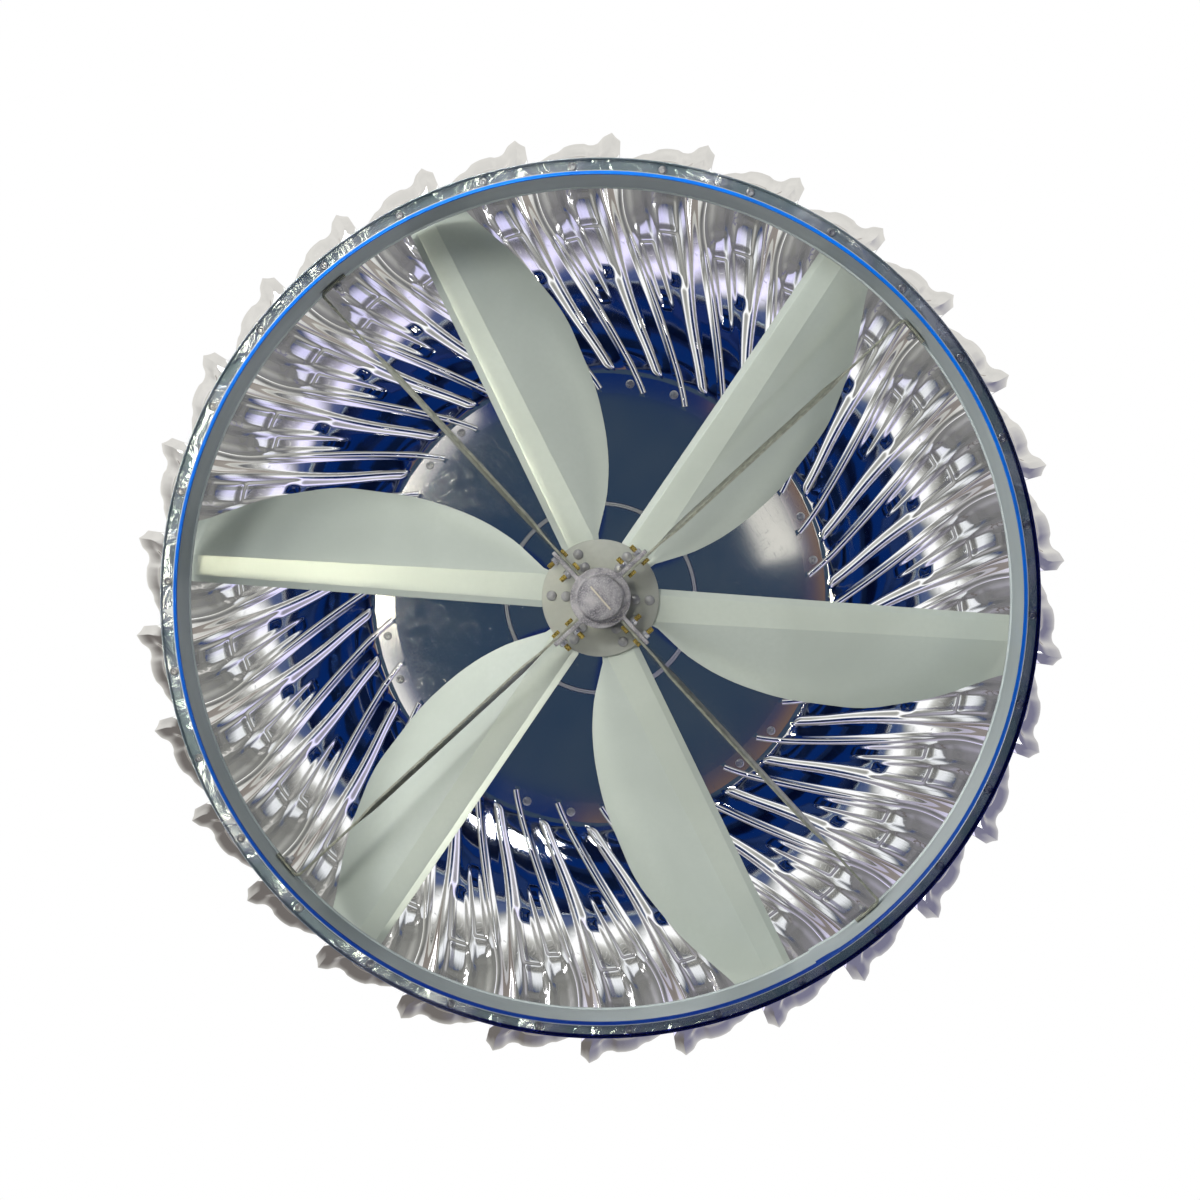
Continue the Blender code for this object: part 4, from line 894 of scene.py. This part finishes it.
def make_throat(finish):
    """The collar: a hem at its foot, a roll at its top and a lap seam."""
    wall = THROAT_BORE + THROAT_SHEET
    hem = HEM_RADIUS - wall
    top = THROAT_HEIGHT
    profile = [(THROAT_BORE, 0.0008), (THROAT_BORE + 0.0006, 0.0), *arc((wall, hem), hem, -90, 90, 9)]
    profile += [(wall, HEM_HEIGHT + 0.0005), (wall, top / 2), (wall, top - RIM_HEIGHT / 2)]
    profile += arc((wall - ROLL_OUTER, top - ROLL_OUTER), ROLL_OUTER, 0, 90, 4)
    profile += arc((THROAT_BORE - RIM_ROLL + ROLL_INNER, top - ROLL_INNER), ROLL_INNER, 90, 200, 6)
    profile += [(THROAT_BORE - RIM_ROLL, top - RIM_HEIGHT + 0.001)]
    profile += [(THROAT_BORE, z) for z in (top - RIM_HEIGHT, top / 2, HEM_HEIGHT, HEM_HEIGHT / 2)]
    sections = []
    closing = SEAM_ANGLE + tau
    for k in range(THROAT_SEGMENTS + 1):
        angle = SEAM_ANGLE + (tau + SEAM_LAP) * k / THROAT_SEGMENTS
        lapped = ramp(angle, (closing - radians(0.6), closing + radians(0.4)))
        inward = lapped * (THROAT_SHEET + 0.0002)
        sections.append([polar(r - inward, angle, z) for r, z in profile])
    mesh = built("throat_sheet", (add_strip, sections), smooth_angle=50.0)
    piece = add_piece("throat_sheet", mesh, finish["throat_zinc"], STILL, ["throat_collar"])
    mesh.materials.append(finish["hem_film"])
    for face in piece.data.polygons:
        if face.center.z < HEM_HEIGHT / 2 and face.center.xy.length < THROAT_BORE + HEM_BLUE_WIDTH:
            face.material_index = 1


def make_ring(polished):
    """The rotor ring: a lip outside, a flange under the vanes and a wall for the blades."""
    inner, outer, low, top = RING_BORE, RING_RADIUS, ring_low.z, ring_high.z
    flange, sheet = RING_FLANGE, RING_SHEET
    corners = [
        (inner, flange), (outer - sheet, flange), (outer - sheet, low), (outer, low),
        (outer, flange + sheet), (inner + sheet, flange + sheet), (inner + sheet, top), (inner, top),
    ]
    profile = softened(corners, 0.0005)
    add_turned_piece("ring_sheet", profile, 192, polished, "rotor_ring")


def make_disc(polished):
    low, lift = disc_low.z, disc_low.z + DISC_STEP_HEIGHT
    hole = STUD_RADIUS + TOUCH_GAP
    under = [(DISC_RADIUS, low), (DISC_RADIUS - 0.002, low), (DISC_STEP_RADIUS + 0.001, low)]
    for t in np.linspace(0, 1, 7):
        under.append((DISC_STEP_RADIUS - t * DISC_STEP_WIDTH, low + DISC_STEP_HEIGHT * ramp(t, (0, 1))))
    under += [(DISC_STEP_RADIUS - DISC_STEP_WIDTH - 0.001, lift), (hole + 0.002, lift), (hole, lift)]
    over = [(r, z + DISC_SHEET) for r, z in reversed(under)]
    add_turned_piece("closing_disc", under + over, 160, polished, "inner_disc")


def make_cover(polished):
    flat = COVER_RADIUS - COVER_FLAT_WIDTH
    low = cover_low.z
    under = [(COVER_RADIUS - 0.0004, low), (flat, low)]
    under += [(flat * r, low + COVER_RISE * z) for r, z in COVER_CURVE_SHARES]
    under += [(COVER_LAND_RADIUS, low + COVER_RISE), (STUD_RADIUS + TOUCH_GAP, low + COVER_RISE)]
    over = [(r, z + COVER_SHEET) for r, z in reversed(under)]
    rim = [(COVER_RADIUS, low + COVER_SHEET * share) for share in (0.7, 0.3)]
    profile = under + over + rim
    add_turned_piece("cover_dome", profile, 160, polished, "top_cover")


def make_hub(finish):
    """The hub plate, and the shaft from its journal up to its threaded end."""
    bore = SHAFT_RADIUS + TOUCH_GAP
    corners = [
        (bore, hub_low.z), (HUB_RADIUS, hub_low.z), (HUB_RADIUS, HUB_TOP), (HUB_BOSS_RADIUS, HUB_TOP),
        (HUB_BOSS_RADIUS, hub_high.z), (bore, hub_high.z),
    ]
    profile = softened(corners, 0.0006)
    add_turned_piece("hub_plate", profile, 96, finish["hub_zinc"], "hub_disc")
    collar_high = hub_low.z - TOUCH_GAP
    shoulder = disc_low.z + DISC_STEP_HEIGHT - TOUCH_GAP
    bar_end = nut_high.z - 0.001
    profile = [
        (0.0, shaft_low.z), (JOURNAL_RADIUS, shaft_low.z), (JOURNAL_RADIUS, SHAFT_COLLAR_LOW),
        (SHAFT_COLLAR_RADIUS, SHAFT_COLLAR_LOW), (SHAFT_COLLAR_RADIUS, collar_high),
        (SHAFT_RADIUS, collar_high), (SHAFT_RADIUS, shoulder), (STUD_RADIUS, shoulder),
        (STUD_RADIUS, bar_end), (0.0, bar_end),
    ]
    thread = (add_thread, Matrix(), bar_end - 0.0002, shaft_high.z, STUD_RADIUS)
    mesh = built("shaft_bar", (add_turned, profile, 48, True), thread)
    add_piece("shaft_bar", mesh, finish["bright_plating"], TURNING, ["rotor_shaft"])


def make_top_nut(steel):
    hole = STUD_RADIUS + TOUCH_GAP
    seat, slope, crest = nut_low.z, nut_low.z + NUT_FLANGE[0], nut_low.z + NUT_FLANGE[1]
    flange = [(hole, seat), (nut_high.x, seat), (nut_high.x, slope), (0.0100, crest), (hole, crest)]
    mesh = built("cover_nut", (add_turned, softened(flange, 0.0004), 64),
                 (add_hexagon, Matrix(), slope, nut_high.z, NUT_RADIUS, NUT_CHAMFER))
    add_piece("cover_nut", mesh, steel, TURNING, ["top_flange_nut"])


def stay_sections():
    """Rounded bar sections along one stay, from the housing to the end of its foot."""
    half = (STAY_THICKNESS / 2, STAY_WIDTH / 2)
    outline = soft_rectangle((-half[0], -half[1]), half, 0.0006, 2)
    middle_radius = STAY_REACH - STAY_THICKNESS / 2
    corner_x = middle_radius - STAY_CORNER
    twist_start = (STAY_TWIST_START, STAY_TWIST_START + STAY_TWIST_RUN)
    twist_end = (STAY_REACH - twist_start[1], STAY_REACH - twist_start[0])
    stations = [
        (Vector((x, 0, 0)), Vector((0, 1, 0)), ramp(x, twist_start) - ramp(x, twist_end))
        for x in np.linspace(STAY_START, corner_x, 90)
    ]
    for degrees in (15, 30, 45, 60, 75):
        out = polar(1.0, radians(degrees - 90))
        stations.append((Vector((corner_x, STAY_CORNER, 0)) + STAY_CORNER * out, -out, 0.0))
    for y in np.linspace(STAY_CORNER, STAY_FOOT, 14):
        spot = Vector((sqrt(middle_radius ** 2 - y ** 2), y, 0))
        stations.append((spot, -spot.normalized(), 0.0))
    sections = []
    for centre, across, twist in stations:
        turn = Matrix.Rotation(STAY_TWIST * twist, 3, across.cross(UP))
        side, tall = turn @ across, turn @ UP
        sections.append([centre + UP * STAY_LEVEL + side * a + tall * b for a, b in outline])
    return sections


def make_stays(finish, round_axis):
    """Four stays with their foot bolts, and the screws and nuts that clamp them to the fins."""
    def add_four(name, forms, material, nodes=()):
        copies = grown(name, built(name, *forms), round_axis, count=STAY_COUNT, first_angle=STAY_ANGLE)
        add_piece(name, joined(name, [copies]), finish[material], STILL, nodes)

    y = FOOT_BOLT_OFFSET
    out = Vector((sqrt(STAY_REACH ** 2 - y ** 2), y, 0)).normalized()
    foot = looking(out, out * (STAY_REACH - STAY_THICKNESS) + UP * STAY_LEVEL)
    head = THROAT_BORE + THROAT_SHEET + TOUCH_GAP - STAY_REACH + STAY_THICKNESS
    foot_bolt = [
        (add_hexagon, foot, -NUT_HEIGHT, -0.0001),
        (add_thread, foot @ UPSIDE_DOWN, NUT_HEIGHT - THREAD_HIDDEN, NUT_HEIGHT + FOOT_THREAD_REACH),
        (add_hexagon, foot, head, head + HEAD_HEIGHT),
    ]
    screws, nuts = [], []
    far = STAY_THICKNESS + FIN_THICKNESS + 3 * TOUCH_GAP
    end = far + NUT_HEIGHT
    for circle in CLAMP_BOLT_CIRCLES:
        seat = looking((0, -1, 0), (circle, STAY_THICKNESS / 2 + TOUCH_GAP, STAY_LEVEL))
        screws.append((add_hexagon, seat, -HEAD_HEIGHT, 0.0))
        screws.append((add_thread, seat, end - THREAD_HIDDEN, end + CLAMP_THREAD_REACH))
        nuts.append((add_hexagon, seat, far, end))
    bars = numbered("stay_bar", STAY_COUNT)
    bolts = numbered("clamp_bolt", STAY_COUNT * len(CLAMP_BOLT_CIRCLES))
    add_four("stay_bars", [(add_strip, stay_sections())], "bar_plating", bars)
    add_four("foot_bolts", foot_bolt, "bright_plating")
    add_four("clamp_screws", screws, "yellow_plating", bolts)
    add_four("clamp_nuts", nuts, "bright_plating")


def make_housing(cast):
    """The cast bearing housing: a domed cap, a flange and four clamping fins, fused like a casting."""
    low, high = housing_low.z, housing_high.z
    outside = [(CAP_RADIUS * share, low + rise) for share, rise in CAP_DOME]
    outside += [(CAP_RADIUS, FLANGE_LOW), (FLANGE_RADIUS, FLANGE_LOW), (FLANGE_RADIUS, FLANGE_HIGH)]
    outside += [(CAP_RADIUS, FLANGE_HIGH), (CAP_RADIUS, high), (HOUSING_BORE, high)]
    outside += [(HOUSING_BORE, high - BORE_DEPTH), (0.0, high - BORE_DEPTH)]
    forms = [(add_turned, outside, 96, True)]
    fin = soft_rectangle((FIN_START, -FIN_HEIGHT / 2), (FIN_END, FIN_HEIGHT / 2), FIN_CORNER, 4)
    for k in range(STAY_COUNT):
        place = turn_about_z(STAY_ANGLE + tau * k / STAY_COUNT)
        sides = [FIN_OFFSET + side * FIN_THICKNESS for side in (-0.5, 0.5)]
        forms.append((add_strip, [
            [place @ Vector((x, y, STAY_LEVEL + z)) for x, z in fin] for y in sides
        ]))
    mark = turn_about_z(PARTING_ANGLE)
    line = []
    for share in np.linspace(-0.9, 0.9, 13):
        x, rise = share * PARTING_REACH, low + 0.0008 * share ** 2
        ring = arc((0.0, rise), PARTING_RADIUS, 0, 300, 6)
        line.append([mark @ Vector((x, y, z)) for y, z in ring])
    forms.append((add_strip, line))
    mesh = modified(
        built("housing_casting", *forms), REMESH={"mode": "VOXEL", "voxel_size": CASTING_VOXEL},
        SMOOTH={"factor": 0.5, "iterations": 5},
    )
    mesh.shade_smooth()
    add_piece("housing_casting", mesh, cast, STILL, ["bearing_housing"])


def object_spot(tree):
    return put("ShaderNodeTexCoord", {}, "Object", tree)


def rays(tree):
    """What kinds of ray see the surface."""
    return tree.nodes.new("ShaderNodeLightPath").outputs


def noise(vector, **feeds):
    return put("ShaderNodeTexNoise", {"Vector": vector, **feeds})


def off_axis(vector):
    """A spot's distance from the Z axis."""
    flat = put("ShaderNodeVectorMath", {0: vector, 1: (1.0, 1.0, 0.0)}, operation="MULTIPLY")
    return put("ShaderNodeVectorMath", {0: flat}, out="Value", operation="LENGTH")


def mixed(share, first, second):
    """A colour between two colours, or colour outputs, by a share."""
    feeds = {0: share}
    for place, colour in ((6, first), (7, second)):
        feeds[place] = (*colour, 1.0) if isinstance(colour, tuple) else colour
    return put("ShaderNodeMix", feeds, out=2, data_type="RGBA")


def bumped(height, strength, distance):
    return put("ShaderNodeBump", {"Height": height, "Strength": strength, "Distance": distance})


def graded(value, stops):
    """A colour that follows a value from 0 to 1 through stops of (value, colour)."""
    colour = put("ShaderNodeValToRGB", {0: value})
    elements = colour.node.color_ramp.elements
    while len(elements) < len(stops):
        elements.new(0.5)
    for element, (place, shade) in zip(elements, stops):
        element.position = place
        element.color = (*shade, 1.0)
    return colour


def placed_group(tree, group, *values):
    """The outputs of a shared group, which is given its inputs in their order."""
    return put("ShaderNodeGroup", dict(enumerate(values)), 0, tree, node_tree=group).node.outputs


def handling_marks_group():
    """Fine straight scratches in two directions, with cloudy handling smears."""
    tree, given, result = start_tree(
        "handling_marks", {"Scale": 30.0, "Stretch": 14.0, "Smear Scale": 6.0},
        ["Scratches", "Smears"],
    )
    spot = object_spot(tree)
    layers = []
    for turn in ((0.3, 0.2, 0.6), (0.1, 0.5, 2.1)):
        turned = axes(put("ShaderNodeMapping", {"Vector": spot, "Rotation": turn}))
        narrow = calc("MULTIPLY", turned[1], given["Stretch"])
        stretched = put("ShaderNodeCombineXYZ", {0: turned[0], 1: narrow, 2: turned[2]})
        layer = noise(stretched, Scale=given["Scale"], Detail=3.0, Roughness=0.7)
        layers.append(spread(layer, 0.63, 0.72))
    smears = noise(spot, Scale=given["Smear Scale"], Detail=4.0, Distortion=0.6)
    scratches = calc("MAXIMUM", *layers)
    feed(result, {"Scratches": scratches, "Smears": spread(smears, 0.40, 0.68)})
    return tree


def mottle_group():
    """Blotches of two sizes, for stains, zinc bloom and cast skin."""
    tree, given, result = start_tree(
        "mottle", {"Large Scale": 12.0, "Fine Scale": 160.0},
        ["Blotches", "Grain"],
    )
    spot = object_spot(tree)
    large = noise(spot, Scale=given["Large Scale"], Detail=5.0, Distortion=0.4)
    fine = noise(spot, Scale=given["Fine Scale"], Detail=3.0)
    feed(result, {"Blotches": spread(large, 0.35, 0.65), "Grain": fine})
    return tree


def start_material(name):
    material = bpy.data.materials.new(name)
    material.use_nodes = True
    tree = material.node_tree
    return material, tree, tree.nodes["Principled BSDF"]


def polished_look(tree, marks):
    """Bright rolled aluminium: mirror like, with scratches and smears from handling. Where vanes mirror
    it, it is darker and gives off a painted glow.
    """
    mask = placed_group(tree, marks, 34.0, 12.0, 7.0)
    colour = mixed(mask["Smears"], (0.90, 0.90, 0.91), (0.84, 0.84, 0.85))
    # A vane seen in another is soft and darker, and gives off a painted glow: painted light brightens the
    # middle of their inner sides and tints one side lilac, and painted shade darkens their outer sides
    again = rays(tree)["Is Glossy Ray"]
    spot = axes(object_spot(tree))
    glow = graded(spread(spot[2], VANE_BASE, VANE_TOP), VANE_PAINTED_GLOW)
    far_side = spread(calc("ADD", spot[0], spot[1]), 0.15, 0.55)
    lilac = put("ShaderNodeVectorMath", {0: glow, 1: LILAC}, operation="MULTIPLY")
    glow = mixed(far_side, glow, lilac)
    inside = put("ShaderNodeAttribute", {}, "Fac", tree, attribute_name="inside")
    # Painted brown shade on the vanes' outer sides
    glow = mixed(inside, (0.16, 0.135, 0.12), glow)
    rough = calc("MULTIPLY_ADD", mask["Smears"], 0.04, 0.05)
    rough = calc("MULTIPLY_ADD", mask["Scratches"], 0.08, rough)
    # Seen in another vane: a darker, rougher copy with the painted glow
    return {
        "Base Color": mixed(again, colour, (0.21, 0.21, 0.20)), "Metallic": 1.0,
        "Roughness": calc("MULTIPLY_ADD", again, 0.40, rough),
        "Emission Color": mixed(again, (0.0, 0.0, 0.0), glow), "Emission Strength": 1.1,
    }


def disc_look(tree, marks):
    """The flat closing disc: the same bright sheet, with more scratches."""
    mask = placed_group(tree, marks, 60.0, 26.0, 5.0)
    colour = mixed(mask["Scratches"], (0.78, 0.80, 0.82), (0.86, 0.87, 0.88))
    rough = calc("MULTIPLY_ADD", mask["Smears"], 0.03, 0.04)
    rough = calc("MULTIPLY_ADD", mask["Scratches"], 0.14, rough)
    return {"Base Color": colour, "Metallic": 1.0, "Roughness": rough}


def ring_look(tree, marks):
    """The rolled ring's mill finish: greyer and softer in its reflections than the vanes."""
    mask = placed_group(tree, marks, 20.0, 8.0, 22.0)
    colour = mixed(mask["Smears"], (0.44, 0.54, 0.56), (0.74, 0.78, 0.82))
    # Painted blue reflection on one side of its outer edge
    spot = object_spot(tree)
    painted_blue_reflection = spread(off_axis(spot), RING_RADIUS - 0.0034, RING_RADIUS - 0.0026)
    spot = axes(spot)
    side = spread(calc("ADD", spot[0], spot[1]), -0.10, 0.30)
    painted_blue_reflection = calc("MULTIPLY", painted_blue_reflection, side)
    return {
        "Base Color": mixed(painted_blue_reflection, colour, (0.004, 0.012, 0.20)), "Metallic": 0.75,
        "Roughness": calc("MULTIPLY_ADD", mask["Smears"], 0.12, 0.16),
        "Normal": bumped(mask["Smears"], 0.35, 0.003),
    }


def zinc_look(tree, mottle, light, dark, roughness, metallic, mirrored):
    """Galvanised sheet with its bloom and stains, and the painted shade that it has where vanes mirror
    it.
    """
    mask = placed_group(tree, mottle, 9.0, 220.0)
    colour = mixed(mask["Blotches"], light, dark)
    colour = mixed(spread(mask["Grain"], 0.3, 0.7, 0.35), colour, dark)
    # Painted shade: where vanes mirror the sheet, it takes the given dark colour and is fully metallic
    again = rays(tree)["Is Glossy Ray"]
    return {
        "Base Color": mixed(again, colour, mirrored),
        "Metallic": calc("MULTIPLY_ADD", again, 1.0 - metallic, metallic),
        "Roughness": calc("MULTIPLY_ADD", mask["Blotches"], 0.02, roughness),
        "Normal": bumped(mask["Grain"], 0.08, 0.0005),
    }


def cast_look(tree, mottle):
    """Sand cast aluminium: mottled grey with a lilac cast, pitted."""
    mask = placed_group(tree, mottle, 75.0, 700.0)
    colour = mixed(mask["Blotches"], (0.47, 0.455, 0.46), (0.17, 0.165, 0.18))
    colour = mixed(spread(mask["Grain"], 0.45, 0.70, 0.7), colour, (0.58, 0.56, 0.55))
    # The pale parting line across the cap
    turned = put("ShaderNodeMapping",
                 {"Vector": object_spot(tree), "Rotation": (0, 0, -PARTING_ANGLE)})
    spot = axes(turned)
    line = spread(calc("ABSOLUTE", spot[1]), 0.0013, 0.0003)
    on_cap = calc("LESS_THAN", spot[2], housing_low.z + 0.003)
    within = calc("LESS_THAN", calc("ABSOLUTE", spot[0]), 0.014)
    line = calc("MULTIPLY", calc("MULTIPLY", line, on_cap), within)
    return {
        "Base Color": mixed(line, colour, (0.74, 0.68, 0.54)), "Metallic": 0.35,
        "Roughness": 0.42, "Normal": bumped(mask["Grain"], 0.5, 0.0006),
    }


def plated_look(tree, mottle, light, dark, roughness, metallic):
    """Plated small hardware, duller in its blotches."""
    mask = placed_group(tree, mottle, 180.0, 700.0)
    return {
        "Base Color": mixed(mask["Blotches"], light, dark), "Metallic": metallic,
        "Roughness": calc("MULTIPLY_ADD", mask["Grain"], 0.2, roughness - 0.1),
        "Normal": bumped(mask["Grain"], 0.1, 0.0003),
    }


def hem_look(tree, mottle):
    """The hem's blue edge, with painted light that makes it brighter towards one side."""
    along = axes(object_spot(tree))[1]
    # Painted light: the blue is brighter towards one side and darker towards the other
    side = spread(along, -HEM_RADIUS, HEM_RADIUS * 0.9)
    mask = placed_group(tree, mottle, 30.0, 300.0)
    colour = mixed(side, (0.0, 0.28, 1.0), (0.005, 0.04, 0.30))
    dulled = calc("MULTIPLY", mask["Blotches"], 0.3)
    colour = mixed(dulled, colour, (0.02, 0.10, 0.35))
    return {"Base Color": colour, "Metallic": 0.3, "Roughness": 0.3}


def make_materials():
    marks = handling_marks_group()
    mottle = mottle_group()
    looks = {
        "polished_sheet": (polished_look, marks), "disc_sheet": (disc_look, marks),
        "ring_sheet": (ring_look, marks), "cast_skin": (cast_look, mottle),
        "hem_film": (hem_look, mottle),
    }
    looks.update({name: (zinc_look, mottle, *values) for name, values in ZINC_SHEETS.items()})
    looks.update({name: (plated_look, mottle, *values) for name, values in PLATINGS.items()})
    finish = {}
    for name, (look, *sizes) in looks.items():
        material, tree, shader = start_material(name)
        feed(shader, look(tree, *sizes))
        finish[name] = material
    return finish


def dress_kept_nodes(steel):
    """The bearing's races, its balls and the retaining ring keep their solids."""
    for name in ("bearing_outer_race", "bearing_inner_race", "bearing_ball_cage", "shaft_retaining_ring"):
        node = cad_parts[name]
        node.data.materials.clear()
        node.data.materials.append(steel)


def make_camera():
    data = bpy.data.cameras.new("camera")
    data.sensor_width = SENSOR_WIDTH
    data.lens = CAMERA_FOCAL_PIXELS / PICTURE_PIXELS * SENSOR_WIDTH
    data.shift_x = 0.5 - AXIS_PIXEL[0] / PICTURE_PIXELS
    data.shift_y = AXIS_PIXEL[1] / PICTURE_PIXELS - 0.5
    data.clip_end = 100.0
    camera = new_object("camera", data)
    camera.location = (0, 0, -CAMERA_DISTANCE)
    camera.rotation_euler = (pi, 0, 0)
    bpy.context.scene.camera = camera


def sector(radii, level, angles, steps=25):
    """A flat piece of a ring, facing up, from its outer to its inner radius."""
    shape = bmesh.new()
    skin(shape, [
        [shape.verts.new(polar(radius, radians(degree), level)) for radius in radii]
        for degree in np.linspace(*angles, steps)
    ])
    return shape


def circle(radius, level):
    shape = bmesh.new()
    bmesh.ops.create_circle(shape, cap_ends=True, segments=64, radius=radius,
                            matrix=Matrix.Translation((0, 0, level)))
    return shape


def floor_material():
    """A pale floor that shows only from above, with a hole under the throat as a roof has."""
    material, tree, shader = start_material("pale_floor")
    path = rays(tree)
    lifted = calc("MAXIMUM", path["Is Camera Ray"], path["Is Transmission Ray"])
    cloud = noise(object_spot(tree), Scale=3.0)
    feed(shader, {
        "Base Color": mixed(cloud, (0.80, 0.80, 0.80), (0.78, 0.78, 0.79)), "Roughness": 0.8,
        "Emission Color": (*WHITE, 1.0), "Emission Strength": calc("MULTIPLY", lifted, 0.42),
    })
    geometry = tree.nodes.new("ShaderNodeNewGeometry").outputs
    near = calc("LESS_THAN", off_axis(geometry["Position"]), RING_RADIUS + 0.04)
    open_to_gloss = calc("MULTIPLY", path["Is Glossy Ray"], near)
    seen_through = calc("MAXIMUM", geometry["Backfacing"], path["Is Shadow Ray"])
    seen_through = calc("MAXIMUM", seen_through, open_to_gloss)
    clear = put("ShaderNodeBsdfTransparent", {}, tree=tree)
    blend = put("ShaderNodeMixShader", {0: seen_through, 1: shader.outputs[0], 2: clear})
    feed(tree.nodes["Material Output"], {"Surface": blend})
    return material


def make_floor():
    mesh = as_mesh(sector((30.0, THROAT_BORE - 0.012), -0.0005, (0, 360), 65), "floor")
    mesh.materials.append(floor_material())
    new_object("floor", mesh)


def add_card(name, shape, glow):
    """A studio surface that only polished sheet mirrors, with its colour from a node tree."""
    material, tree, shader = start_material(name)
    tree.nodes.remove(shader)
    light = put("ShaderNodeEmission", {"Color": glow(tree), "Strength": 1.0})
    feed(tree.nodes["Material Output"], {"Surface": light})
    mesh = as_mesh(shape, name)
    mesh.materials.append(material)
    card = new_object(name, mesh)
    card.visible_camera = False
    card.visible_diffuse = False
    card.visible_shadow = False


def make_cards():
    """Dark blue cloth far below the throat, cards round the camera and a grey canopy overhead."""
    def cloth(tree):
        cloud = noise(object_spot(tree), Scale=0.35, Detail=2.0)
        return mixed(cloud, (0.0, 0.010, 0.095), (0.004, 0.028, 0.145))

    def canopy(tree):
        spot = object_spot(tree)
        across, along = axes(spot)[:2]
        low_left = spread(calc("MULTIPLY_ADD", across, -0.75, along), 1.2, 3.0)
        low_right = spread(calc("MULTIPLY_ADD", across, 1.4, along), 1.4, 4.4)
        cloud = noise(spot, Scale=0.9, Detail=2.0)
        colour = mixed(cloud, (0.86, 0.84, 0.79), (0.60, 0.59, 0.56))
        colour = mixed(low_left, colour, (0.17, 0.155, 0.145))
        return mixed(low_right, colour, (0.20, 0.195, 0.28))

    def plain(colour, other=None):
        def glow(tree):
            cloud = noise(object_spot(tree), Scale=9.0)
            return mixed(cloud, colour, other or tuple(0.8 * part for part in colour))
        return glow

    dome = bmesh.new()
    bmesh.ops.create_uvsphere(dome, u_segments=48, v_segments=24, radius=6.0)
    low = [vert for vert in dome.verts if vert.co.z < 0.7]
    bmesh.ops.delete(dome, geom=low, context="VERTS")
    add_card("blue_cloth", circle(6.6, -4.0), cloth)
    add_card("grey_canopy", dome, canopy)
    # Round the camera, as seen mirrored in the closing disc
    level = -CAMERA_DISTANCE - 0.05
    reach = DISC_RADIUS * (1 + (disc_low.z - level) / (disc_low.z + CAMERA_DISTANCE))
    tabs = (reach * 1.35, reach * 1.05)
    add_card("white_card", sector(tabs, level, (130, 236)), plain((1.0, 0.98, 0.93)))
    add_card("brown_card", sector(tabs, level, (-60, 96)), plain((0.20, 0.13, 0.09)))
    slate = plain((0.010, 0.036, 0.090), (0.062, 0.085, 0.110))
    add_card("slate_card", circle(reach * 1.01, level - 0.01), slate)
    add_card("warm_card", sector((reach, reach * 0.80), level, (-34, -12)), plain((1.0, 0.96, 0.86)))


def make_light():
    for name, (place, target, size, power, colour, mirrored) in LAMPS.items():
        data = bpy.data.lights.new(name, "AREA")
        data.shape = "RECTANGLE"
        data.size, data.size_y = size
        data.energy = power
        data.color = colour
        lamp = new_object(name, data)
        lamp.matrix_world = looking(Vector(place) - UP * target, place)
        lamp.visible_glossy = mirrored
    world = bpy.data.worlds.new("studio")
    bpy.context.scene.world = world
    world.use_nodes = True
    tree = world.node_tree
    path = rays(tree)
    seen = calc("MAXIMUM", path["Is Camera Ray"], path["Is Glossy Ray"])
    seen = calc("MAXIMUM", seen, path["Is Transmission Ray"])
    strength = calc("MULTIPLY_ADD", seen, 0.84, 0.16)
    feed(tree.nodes["Background"], {"Color": (*WHITE, 1.0), "Strength": strength})
    bpy.context.scene.view_settings.view_transform = "Standard"


def main():
    make_camera()
    finish = make_materials()
    steel = finish["bright_plating"]
    round_axis = copies_round_axis_tree(steel)
    make_throat(finish)
    make_stays(finish, round_axis)
    make_housing(finish["cast_skin"])
    make_hub(finish)
    make_blades(finish["blade_zinc"])
    make_ring(finish["ring_sheet"])
    make_vanes(finish["polished_sheet"])
    make_disc(finish["disc_sheet"])
    make_cover(finish["polished_sheet"])
    make_top_nut(steel)
    make_rivets(finish, round_axis)
    dress_kept_nodes(steel)
    make_floor()
    make_cards()
    make_light()


main()
